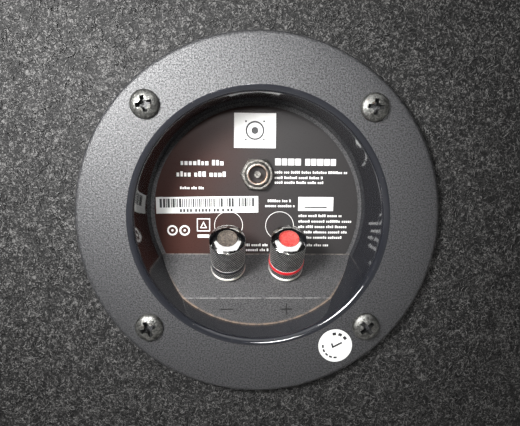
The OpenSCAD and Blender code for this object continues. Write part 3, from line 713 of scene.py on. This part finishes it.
INK_T = 0.03
INK = (LABEL_FACE, LABEL_FACE + INK_T)
OVER_INK = (LABEL_FACE + INK_T, LABEL_FACE + 2 * INK_T)
STRIP_T = 0.08
STRIP_INK = (LABEL_FACE + STRIP_T, LABEL_FACE + STRIP_T + 0.02)
DISC_T = 0.1
DISC_INK = (DISC_T, DISC_T + 0.02)
EMBLEM = (-0.9, 26.1)


def greeked(build, x0, x1, middle, height, seed, bold=False):
    """A line of blind type: small blocks in word-like groups."""
    rng = random.Random(seed)
    x = x0
    left_in_word = rng.randint(3, 7)
    while x < x1 - 0.4 * height:
        width = min(height * (rng.uniform(0.75, 0.95) if bold else rng.uniform(0.42, 0.68)), x1 - x)
        top = middle + height * (0.5 if bold or rng.random() < 0.3 else 0.25)
        build.add(block(x, x + width, middle - height / 2, top, *INK))
        x += width + height * (0.16 if bold else 0.24)
        left_in_word -= 1
        if not left_in_word:
            x += height * 0.5
            left_in_word = rng.randint(3, 7)


def spec_label():
    """The round film with its straight lower edge."""
    edge_turn = degrees(asin(LABEL_EDGE / LABEL_R))
    outline = arc(0, 0, LABEL_R, edge_turn, 180 - edge_turn, 120)
    build = Build().add(prism(outline, -FLOOR_DEPTH, LABEL_FACE))
    build.piece("label_film", "label", CUP, slot="label", replaces="spec_label")


def label_print():
    """White print: blank panels, blind type, rings and plain marks that stand for the real ones."""
    build = Build()
    build.add(block(-7.75, 6.0, 20.4, 31.75, *INK))
    build.add(block(13.9, 25.75, -0.45, 4.25, *INK))
    greeked(build, 5.9, 27.2, 15.9, 2.2, 3, bold=True)
    greeked(build, -25.3, -9.6, 15.45, 1.7, 5)
    greeked(build, -26.7, -9.6, 11.65, 1.7, 8)
    small = [
        (5.8, 30.3, 12.5), (5.8, 22.3, 10.7), (5.9, 22.2, 9.1), (-25.6, -17.3, 7.05),
        (3.6, 11.7, 2.9), (2.8, 12.7, 1.2), (14.1, 29.0, -2.1), (14.1, 32.4, -4.0),
        (14.1, 31.4, -5.85), (14.1, 31.1, -7.7), (14.1, 29.0, -9.55), (17.1, 25.1, -12.2),
        (-4.2, 4.1, -12.2), (-4.2, 4.1, -13.9),
    ]
    for seed, (x0, x1, middle) in enumerate(small, 20):
        greeked(build, x0, x1, middle, 0.85, seed)
    for x in (-9.5, 7.7):
        build.add(band(circle(x, -5.5, 4.8), circle(x, -5.5, 4.64), *INK))
    for x, y in ((-28.3, -7.3), (-24.2, -7.3)):
        build.add(band(circle(x, y, 1.75, 32), circle(x, y, 1.2, 32), *INK))
        build.add(prism(circle(x, y, 0.4, 16), *INK))
    square = [(-20.1, -7.6), (-15.7, -7.6), (-15.7, -3.2), (-20.1, -3.2)]
    build.add(band(square, [(-19.8, -7.3), (-16.0, -7.3), (-16.0, -3.5), (-19.8, -3.5)], *INK))
    triangle = [(-19.1, -6.5), (-16.7, -6.5), (-17.9, -4.2)]
    build.add(band(triangle, [(-18.6, -6.2), (-17.2, -6.2), (-17.9, -4.9)], *INK))
    build.add(block(-19.9, -16.0, -9.75, -8.7, *INK))
    build.piece("label_print", "print", CUP, slot="label")


def label_emblem():
    """Generic loudspeaker sign, and a bar, in dark ink on the two blank white panels."""
    x, y = EMBLEM
    build = Build().add(band(circle(x, y, 3.1), circle(x, y, 2.55), *OVER_INK))
    build.add(prism(circle(x, y, 1.15, 32), *OVER_INK))
    for sx, sy in arc(x, y, 4.2, 45, 315, 3):
        build.add(prism(circle(sx, sy, 0.32, 16), *OVER_INK))
    build.add(block(16.0, 23.6, 0.55, 1.0, *OVER_INK))
    build.piece("label_emblem", "ink", CUP, slot="label")


def serial_strip():
    """White strip with plain bars and a line of blind type, stuck on a little crooked."""
    rng = random.Random(11)
    place = moved(-16.6, 1.4, 0, 1.0)
    paper = Build().add(block(-17, 17, -2.75, 2.75, LABEL_FACE, LABEL_FACE + STRIP_T), place)
    paper.piece("serial_strip", "paper", CUP, slot="sticker", replaces="serial_label")
    bars = Build()
    x = -15.8
    while x < 15.2:
        width = rng.choice((0.3, 0.3, 0.5, 0.75))
        bars.add(block(x, x + width, -0.75, 2.2, *STRIP_INK), place)
        x += width + rng.choice((0.22, 0.22, 0.38))
    x = -9.2
    while x < 9.0:
        bars.add(block(x, x + 0.75, -2.35, -1.3, *STRIP_INK), place)
        x += 1.12 if rng.random() < 0.85 else 1.7
    bars.piece("serial_bars", "ink", CUP, slot="sticker")


def round_sticker():
    """Paper disc on the flange, with a tick and short bars in place of its stamp."""
    place = moved(23.3, -38.4)
    paper = Build().add(lathe([(0, 0), (5.1, 0), (5.1, DISC_T), (0, DISC_T)], 64, loop=False), place)
    paper.piece("inspection_disc", "paper", CUP, slot="sticker", replaces="inspection_sticker")
    tilt = place @ moved(turn=-22)
    tick = [(-1.5, 0.1), (-0.5, -1.1), (1.7, 1.5), (1.3, 1.85), (-0.5, -0.3), (-1.15, 0.45)]
    build = Build().add(prism(tick, *DISC_INK), tilt)
    for count, start, step, away, long, wide in ((5, 205, 22, 3.75, 0.5, 0.28), (3, 62, 28, 3.7, 0.55, 0.45)):
        for k in range(count):
            turn = start + step * k
            spot = tilt @ moved(away * cos(radians(turn)), away * sin(radians(turn)), 0, turn + 90)
            build.add(block(-long, long, -wide, wide, *DISC_INK), spot)
    build.piece("inspection_print", "ink", CUP, slot="sticker")


# ---- Screws ----


def cross_screw(head_r, head_h, shank_r, length, reach, width):
    """A pan head with a recessed cross, and its plain shank. The head's underside is at 0.

    Returns the part, and 1 for each face inside the cross, which gets a near-black painted shade, or 0 for
    any other.
    """
    def dome_height(r):
        return head_h * (0.25 + 0.75 * sqrt(max(0, 1 - (r / head_r) ** 2)))

    dome = [(0, -length), (shank_r * 0.4, -length), (shank_r, -length + 2.5), (shank_r, -0.02), (head_r, 0)]
    dome += [(head_r * cos(t), dome_height(head_r * cos(t))) for t in np.linspace(0, 1.45, 11)]
    dome += [(0, head_h)]
    arm = tapered(reach, width, 0.5 * reach, 0.8 * width, -0.2 * head_h, head_h + 0.2)
    core = tapered(0.5 * reach, 0.5 * reach, 0.25 * reach, 0.25 * reach, -0.35 * head_h, head_h + 0.2)
    cutters = [arm, shifted(arm, spin("Z", 90)), shifted(core, spin("Z", 45))]
    points, faces = carved(lathe(dome, 56, loop=False), cutters)
    slots = []
    for face in faces:
        centre = sum((Vector(points[i]) for i in face), Vector()) / len(face)
        r = hypot(centre.x, centre.y)
        # Faces sunk below the dome get the near-black painted shade.
        shaded_hollow = dome_height(r) - centre.z > 0.08 * head_h
        slots.append(int(shaded_hollow and r < 0.72 * head_r and centre.z > -0.5 * head_h))
    return (points, faces), slots


def tapered(top_x, top_y, low_x, low_y, z0, z1):
    """A block that is wider at z1 than at z0; sizes are half widths."""
    ends = ((low_x, low_y, z0), (top_x, top_y, z1))
    points = [(x * sx, y * sy, z) for x, y, z in ends for sy in (-1, 1) for sx in (-1, 1)]
    return points, block(0, 1, 0, 1, 0, 1)[1]


def screw_set(name, node, screw, spots, face=ROW, place=ROW, key="black_screw", sharp=28):
    """One piece of equal screws on a face, at spots of (x, y, z, turn)."""
    part, slots = screw
    build = Build()
    for spot in spots:
        build.add(part, face @ moved(*spot), slots)
    slot = "screw_steel" if key == "screw" else key
    # The second material is the near-black painted shade in the cross.
    build.piece(name, key + " recess", place, sharp=sharp, slot=slot, replaces=node)


def cup_screws():
    half = SCREW_SPACING / 2
    spots = [(-half, half, 0, 14), (half, half, 0, -4), (-half, -half, 0, 24), (half, -half, 0, 41)]
    screw = cross_screw(4.1, 2.4, 2.05, 19, 2.5, 0.62)
    screw_set("panel_screws", "cup_screws", screw, spots, place=CUP, key="screw")


def front_screws():
    """Screws of the window and the ports, from where the CAD puts them."""
    def front_face(y):
        return Matrix.Translation((0, y / MM, MID_Z / MM)) @ spin("X", -90)

    low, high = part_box("window_panel")
    edge = (high.x - low.x) / MM / 2 - 6
    corner = edge - 4
    signs = [(s, t) for s in (-1, 1) for t in (-1, 1)]
    spots = [(s * edge, t * 46) for s, t in signs] + [(s * 46, t * edge) for s, t in signs]
    spots += [(s * corner, t * corner) for s, t in signs]
    spots = [(x, -z, 0, 37 * n) for n, (x, z) in enumerate(spots)]
    screw = cross_screw(3.6, 2.1, 1.95, 20, 2.0, 0.42)
    screw_set("window_fixings", "window_screws", screw, spots, front_face(high.y))
    low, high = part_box("port_right")
    port_x = (low.x + high.x) / 2 / MM
    spots = []
    for side in (-1, 1):
        ring = arc(side * port_x, 0, 51, 45, 315, 3)
        spots += [(x, y, 0, 29 * k) for k, (x, y) in enumerate(ring)]
    screw = cross_screw(2.8, 1.6, 1.55, 16, 1.6, 0.35)
    screw_set("port_fixings", "port_screws", screw, spots, front_face(high.y))


# ---- Lighting jack ----


def jack_nut():
    """Hexagonal nut with its corners turned off, and a bright washer face."""
    half_across, bore, face_r, low, high = 5.0, 4.05, 4.85, -22.8, -20.4
    segments = 144
    points = []
    for k in range(segments):
        turn = 2 * pi * k / segments
        rim = half_across / cos(turn % radians(60) - radians(30))
        column = [(bore, low), (bore, high - 0.15), (bore + 0.2, high), (face_r, high)]
        column += [(face_r + (rim - face_r) * s, high - 0.62 * (rim - face_r) * s) for s in (0.5, 1.0)]
        column += [(rim, low)]
        points += [(r * cos(turn), r * sin(turn), z) for r, z in column[::-1]]
    rows = [range(k, len(points), len(column)) for k in range(len(column))]
    build = Build().add((points, quads(rows, loop=True)), moved(0, JACK_UP, 0, -2))
    build.piece("jack_hex_nut", "nut", CUP, sharp=25, slot="nickel", replaces="jack_nut")


def jack_barrel():
    """Ringed barrel with a rolled lip, its bore, and the body behind the floor."""
    front = -19.5
    outer = [(3.0, front), (3.5, front - 0.05), (3.75, front - 0.3)]
    for z in np.arange(front - 0.5, -22.6, -0.5):
        outer += [(3.98, z), (3.72, z - 0.25)]
    outer += [(3.98, -25), (5.4, -25), (5.4, -26.5), (4.7, -26.5), (4.7, -37.7), (0.9, -37.7), (0.9, -30.9)]
    profile = outer + [(2.8, -30.8), (2.8, front - 0.35), (2.85, front - 0.1)]
    place = CUP @ Matrix.Translation((0, JACK_UP * MM, 0))
    build = Build().add(lathe(profile[::-1], 96))
    build.piece("jack_sleeve", "barrel", place, sharp=40, slot="nickel", replaces="jack_barrel")


# ---- Binding posts ----

CAP_FOOT = 1.8
CAP_TOP = 17.0
CAP_R = 5.6
KNURLS = 54
KNURL_DEPTH = 0.22
KNURL_PITCH = 1.24


def knurled(r, turn, z):
    """Pushes points on the cap's grip in to form diamonds."""
    if not (2.1 < z < 4.45 or 6.15 < z < 16.1) or r < CAP_R - 0.02:
        return r
    u = turn * KNURLS / (2 * pi)
    v = z / KNURL_PITCH
    rise = min(1 - abs(2 * ((u + v) % 1) - 1), 1 - abs(2 * ((u - v) % 1) - 1))
    return r - KNURL_DEPTH * (1 - rise)


def binding_post(name, ring_key, ring_slot, plug_key, plug_slot):
    """Knurled cap with a polished, slightly conical end, its coloured ring and plug, and its washer."""
    low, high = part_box(name + "_cap")
    axis = Vector((0, -cos(RAMP_ANGLE), sin(RAMP_ANGLE)))
    foot = (low + high) / 2 - axis * (CAP_FOOT + CAP_TOP) / 2 * MM
    place, cap_body = axes_at(foot, (1, 0, 0), axis), name + "_cap_body"
    profile = [(4.2, CAP_FOOT), (CAP_R - 0.25, CAP_FOOT), (CAP_R - 0.08, 1.98)]
    profile += [(CAP_R, z) for z in np.arange(2.05, 4.5, 0.11)]
    profile += [(CAP_R - 0.05, 4.55), (5.3, 4.6), (5.3, 6.0), (CAP_R - 0.05, 6.05)]
    profile += [(CAP_R, z) for z in np.arange(6.1, 16.15, 0.11)]
    grip_rows = len(profile) - 1
    profile += [(CAP_R - 0.02, 16.2), (CAP_R - 0.02, 16.36), (CAP_R - 0.1, 16.46), (3.25, 16.98)]
    profile += [(3.12, 16.97), (3.06, 16.85), (3.06, 6.0), (4.2, 6.0)]
    segments = KNURLS * 6
    part = lathe(profile, segments, bend=knurled)
    slots = [0 if n // segments < grip_rows else 1 for n in range(len(part[1]))]
    cap, node = name + "_knurled_cap", name + "_cap"
    Build().add(part, slot=slots).piece(cap, "knurl chrome", place, cap_body, 50, "cap_nickel", node)
    ring = [(5.32, 4.62), (5.64, 4.62), (5.69, 4.7), (5.74, 4.9), (5.74, 5.7), (5.69, 5.9)]
    ring = lathe(ring + [(5.64, 5.98), (5.32, 5.98)], 128)
    Build().add(ring).piece(name + "_ring", ring_key, place, cap_body, 35, ring_slot, name + "_band")
    plug = [(0, 14.2), (3.0, 14.2), (3.0, 16.05), (2.9, 16.15), (2.3, 16.12), (1.2, 16.06), (0, 16.04)]
    plug = lathe(plug, 64, loop=False)
    Build().add(plug).piece(name + "_end_plug", plug_key, place, cap_body, 35, plug_slot, name + "_plug")
    washer = lathe([(3.2, 1.05), (5.52, 1.05), (5.68, 1.18), (5.68, 1.62), (5.52, 1.75), (3.2, 1.75)], 128)
    name, node = name + "_washer", name + "_clamp_washer"
    Build().add(washer).piece(name, "washer", place, name, 35, "washer_nickel", node)


# ---- Carpet ----

CARPET_T = 3.0
CARPET_ROUND = 6.0
WINDOW_HOLE_ROUND = 25
CUP_HOLE_R = 50.5
PORT_HOLE_R = 54.5
FIBRE_COUNT = 7500
FIBRE_REACH = 118.0
FIBRES_THIN_FROM = 70.0


def slab(outline, y0, y1):
    """A flat shape with an outline of (X, Z), from y0 to y1."""
    points, faces = prism(outline, 0, 1)
    return [(x, y1 - (y1 - y0) * k, z) for x, z, k in points], faces


def carpet_wrap():
    """One carpet shell round the boards, with rounded edges and holes for the cup, window and ports."""
    low, high = box_low / MM, box_high / MM
    t = CARPET_T
    shell = block(low.x, high.x, low.y, high.y, low.z, high.z)
    hollow = block(low.x + t, high.x - t, low.y + t, high.y - t, low.z + t, high.z - t)
    a, b = (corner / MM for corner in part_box("window_panel"))
    inset = WINDOW_HOLE_ROUND - 1
    x0, x1, z0, z1 = (a.x + inset, b.x - inset, a.z + inset, b.z - inset)
    window = []
    for k, (x, z) in enumerate(((x1, z1), (x0, z1), (x0, z0), (x1, z0))):
        window += arc(x, z, WINDOW_HOLE_ROUND, 90 * k, 90 * k + 90, 8)
    cup = circle(CUP_ORIGIN.x / MM, CUP_ORIGIN.z / MM, CUP_HOLE_R, 96)
    cutters = [hollow, slab(window, high.y - 2 * t, high.y + t), slab(cup, low.y - t, low.y + 2 * t)]
    for name in ("port_left", "port_right"):
        a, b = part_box(name)
        port = circle((a.x + b.x) / 2 / MM, MID_Z / MM, PORT_HOLE_R, 96)
        cutters.append(slab(port, high.y - 2 * t, high.y + t))
    sides = " ".join("carpet_" + side for side in ("top", "bottom", "left", "right", "rear", "front"))
    build = Build().add(carved(shell, cutters, bevel=CARPET_ROUND))
    build.piece("carpet_wrap", "carpet", sharp=40, slot="carpet", replaces=sides)


def carpet_fibres():
    """Short curly fibres lying on the carpet round the cup, thinning out further away."""
    rng = random.Random(4)
    build = Build()
    made = 0
    while made < FIBRE_COUNT:
        x, y = rng.uniform(-FIBRE_REACH, FIBRE_REACH), rng.uniform(-FIBRE_REACH, FIBRE_REACH)
        away = hypot(x, y)
        if away < FLANGE_R + 0.6 or away > FIBRE_REACH:
            continue
        thinned = max(0, away - FIBRES_THIN_FROM) / (FIBRE_REACH - FIBRES_THIN_FROM)
        if rng.random() < thinned**2:
            continue
        made += 1
        heading, curl = rng.uniform(0, 2 * pi), rng.gauss(0, 0.9)
        step = rng.uniform(0.35, 0.85)
        route = []
        for k in range(5):
            lift = -FLANGE_T + 0.12 + 0.5 * sin(pi * k / 4) * rng.uniform(0.3, 1.2)
            route.append((x, y, lift))
            heading += curl * 0.6
            x, y = x + step * cos(heading), y + step * sin(heading)
        if min(hypot(p[0], p[1]) for p in route) > FLANGE_R + 0.2:
            build.add(tube(route, rng.choice((0.05, 0.06, 0.08)), 3))
    build.piece("carpet_fibres", "fibre", CUP, sharp=180, slot="carpet")


# ---- Driver ----

CONE_NECK, CONE_RIM = 26.1, 116.0
CONE_NECK_Y, CONE_RIM_Y = -30.0, 18.0
CAP_RIM, CAP_RISE, CAP_SHELL = 44, 13, 0.9
ROLL_R, ROLL_MIDDLE, ROLL_FOOT = 11.5, 126.5, 18.6
SPIDER_Y, SPIDER_WAVE = -33.6, 9.2


def soft_ring(name, profile, key, slot, node):
    """A ring whose outer edge is at the box side and whose inner edge is at the cone."""
    build = Build().add(lathe(profile), spin("X", -90))
    one = build.piece(name, key, Matrix.Translation((0, 0, MID_Z)), None, 60, slot, node)
    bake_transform(one)


def cone_y(r):
    return CONE_NECK_Y + (r - CONE_NECK) * (CONE_RIM_Y - CONE_NECK_Y) / (CONE_RIM - CONE_NECK)


def spider_y(r):
    """Height of the spider's corrugated cloth."""
    return SPIDER_Y + (2 * sin(radians((r - 30) * 360 / SPIDER_WAVE)) if 30 < r < 76 else 0)


def driver_pieces():
    """Cone, dust cap, trim ring, surround, spider, screws and tinsel leads."""
    cone = [(r, cone_y(r) + 1.4) for r in np.linspace(CONE_NECK, CONE_RIM, 24)]
    cone = lathe(cone + [(CONE_RIM, CONE_RIM_Y), (CONE_NECK, CONE_NECK_Y)])
    Build().add(cone).piece("cone_shell", "cone", DRIVER, "cone_body", 35, "cone_poly", "cone")
    dome_r = (CAP_RIM**2 + CAP_RISE**2) / (2 * CAP_RISE)
    foot = cone_y(CAP_RIM) + 1.94
    middle = foot + CAP_RISE - dome_r
    half = degrees(asin(CAP_RIM / dome_r))
    dome = arc(0, middle, dome_r, 90, 90 - half, 14) + [(CAP_RIM + 0.6, foot - 0.1)]
    dome += arc(0, middle, dome_r - CAP_SHELL, 90 - half, 90, 14)
    dome = lathe(dome, loop=False)
    Build().add(dome).piece("dust_dome", "cone", DRIVER, "cone_body", 35, "cone_poly", "dust_cap")
    trim = lathe([(138.6, 19.8), (146, 19.8), (146, 22.4), (145, 23.3), (140, 23.4), (138.6, 22.4)])
    Build().add(trim).piece("frame_trim", "rubber", DRIVER, slot="rubber_trim", replaces="trim_gasket")
    top = ROLL_FOOT + 1.1
    roll = [(146, ROLL_FOOT), (146, top), (138.5, top)] + arc(ROLL_MIDDLE, top, ROLL_R, 8, 172, 24)
    roll += [(114.6, cone_y(114.6) + 2.6), (109, cone_y(109) + 2.5), (109, cone_y(109) + 1.5)]
    roll += [(115.6, cone_y(115.6) + 1.5)] + arc(ROLL_MIDDLE, top, ROLL_R - 1.1, 172, 8, 24)
    roll += [(137.6, ROLL_FOOT)]
    soft_ring("rubber_roll", roll, "surround", "foam_surround", "surround")
    radii = [26.0, 28.5, *np.arange(30, 76.1, 0.575), 77, 88]
    sheet = [(r, spider_y(r)) for r in radii] + [(r, spider_y(r) + 0.7) for r in radii[::-1]]
    soft_ring("spider_disc", sheet, "spider", "spider_cloth", "spider")
    ring = arc(0, 0, 150.5, 22.5, 337.5, 7)
    spots = [(x, y, 18.5, 31 * k) for k, (x, y) in enumerate(ring)]
    screw = cross_screw(3.6, 2.6, 2.1, 22, 2.0, 0.42)
    screw_set("driver_fixings", "driver_screws", screw, spots, place=DRIVER, sharp=35)
    tinsel_leads()


def tinsel_leads():
    """Two braided leads from the terminal board to the cone."""
    route = [(119, -20, 18.3), (117, -22, 27), (107, -24, 31), (92, -23, 26), (77, -19, 16), (66, -15, 8)]
    build = Build()
    for side in (-1, 1):
        build.add(tube(smooth([(x, y, side * z) for x, y, z in route], 6), 0.85, 10))
    place = Matrix.Translation((0, 0, MID_Z))
    one = build.piece("braided_leads", "tinsel", place, None, slot="tinsel", replaces="tinsel_leads")
    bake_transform(one)


def smooth(points, steps):
    """More points along a curve through the given ones."""
    p = [Vector(q) for q in points]
    p = [p[0], *p, p[-1]]
    out = []
    for a, b, c, d in zip(p, p[1:], p[2:], p[3:]):
        for k in range(steps):
            t = k / steps
            bend = (2 * a - 5 * b + 4 * c - d) * t * t + (3 * b - a - 3 * c + d) * t**3
            out.append(tuple(0.5 * (2 * b + (c - a) * t + bend)))
    return out + [tuple(p[-1])]


# ---- Ports and lighting ----


def port_tube(name):
    """Flared port tube with a rolled inner end."""
    a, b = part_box(name)
    place = axes_at(((a.x + b.x) / 2, 0, MID_Z), (1, 0, 0), (0, 1, 0))
    back, front = a.y / MM, b.y / MM
    profile = [(37.5, back + 1.5)] + [(37.5, front - 10 - s) for s in (90, 60, 30)]
    profile += arc(47.5, front - 10, 10, 180, 90, 13)
    profile += [(52.5, front)] + arc(52.5, front - 1.4, 1.4, 75, 0, 4)
    profile += [(53.9, front - 4.5), (40, front - 4.5), (40, back + 1.5), (39.6, back + 0.4)]
    profile += [(38.7, back), (37.9, back + 0.4)]
    build = Build().add(lathe(profile[::-1]))
    build.piece(name + "_tube", "port", place, slot="port_plastic", replaces=name)


def led_strips():
    """White boards with lamp packages, over and under the window."""
    build = Build()
    low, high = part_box("led_strips")
    y = (low.y + high.y) / 2 / MM
    for z, turn in ((low.z / MM, 0), (high.z / MM, 180)):
        strip = Matrix.Translation((0, y, z)) @ spin("X", turn)
        build.add(block(-140, 140, -5, 5, 0, 1.1), strip)
        for k in range(14):
            x = (k - 6.5) * 20
            build.add(block(x - 2.5, x + 2.5, -2.5, 2.5, 1.1, 2.5), strip)
            dot = lathe([(0, 0), (1.9, 0), (1.8, 0.18), (0, 0.26)], 24, loop=False)
            build.add(dot, strip @ moved(x, 0, 2.45), 1)
    build.piece("led_boards", "board lamp", slot="led_board", replaces="led_strips")


# ---- Studio ----

AMBIENT = 0.02
BACKDROP = 0.2
FLOOR_HALF = 4


def add_light(name, kind, place, target, power, **props):
    """A light that points from place to target and that the camera doesn't see."""
    data = bpy.data.lights.new(name, kind)
    data.energy = power
    for key, value in props.items():
        setattr(data, key, value)
    one = new_object(name, data)
    one.location = place
    one.rotation_euler = (Vector(target) - Vector(place)).to_track_quat("-Z", "Y").to_euler()
    one.visible_camera = False
    return one


def add_world():
    """Weak white light from everywhere, and a grey that shows only behind the object and the floor."""
    world = bpy.data.worlds.new("studio")
    world.use_nodes = True
    nodes, links = world.node_tree.nodes, world.node_tree.links
    level = nodes.new("ShaderNodeMath")
    level.operation = "MULTIPLY_ADD"
    level.inputs[1].default_value = BACKDROP
    level.inputs[2].default_value = AMBIENT
    links.new(nodes.new("ShaderNodeLightPath").outputs["Is Camera Ray"], level.inputs[0])
    links.new(level.outputs[0], nodes["Background"].inputs["Strength"])
    nodes["Background"].inputs["Color"].default_value = (1, 1, 1, 1)
    bpy.context.scene.world = world


def studio():
    """Pale floor, a small light at the cup's upper left, one into the cup, and soft light all round."""
    corners = [(x * FLOOR_HALF, y * FLOOR_HALF, 0) for x, y in ((-1, -1), (1, -1), (1, 1), (-1, 1))]
    mesh = new_mesh("floor", corners, [[0, 1, 2, 3]])
    mesh.materials.append(MATERIALS["stage"])
    new_object("floor", mesh)
    add_world()
    near = CUP_ORIGIN
    aim = near + Vector((-0.03, 0, 0.03))
    add_light("key", "AREA", near + Vector((-0.085, -0.13, 0.07)), aim, 0.76, size=0.05)
    beam = {"spot_size": radians(11), "spot_blend": 1.0, "shadow_soft_size": 0.04}
    add_light("cup_light", "SPOT", near + Vector((-0.01, -0.6, 0.12)), near, 13.0, **beam)
    sheet = {"shape": "RECTANGLE", "size": 0.7, "size_y": 0.45}
    card = add_light("overhead_card", "AREA", near + Vector((0, -0.30, 0.50)), near, 1.6, **sheet)
    card.visible_diffuse = False
    add_light("rear_fill", "AREA", near + Vector((-0.5, -1.4, 0.7)), (0, -0.2, 0.19), 0.8, size=1.0)
    add_light("window_light", "AREA", (-0.7, 1.9, 1.0), (0, 0.2, 0.2), 70.0, size=1.2)
    add_light("right_light", "AREA", (1.9, 0.7, 1.2), (0.2, 0, 0.2), 32.0, size=1.2)
    add_light("left_light", "AREA", (-1.9, 0.7, 1.3), (-0.2, 0, 0.2), 28.0, size=1.2)
    bpy.context.scene.view_settings.view_transform = "Standard"


add_camera()
studio()
finish_cad_nodes()
cup_mould()
polarity_marks()
spec_label()
label_print()
label_emblem()
serial_strip()
round_sticker()
cup_screws()
front_screws()
jack_nut()
jack_barrel()
binding_post("neg", "black_ring", "band_black", "dusty_plug", "plug_black")
binding_post("pos", "red", "band_red", "red_plug", "plug_red")
carpet_wrap()
carpet_fibres()
driver_pieces()
port_tube("port_left")
port_tube("port_right")
led_strips()
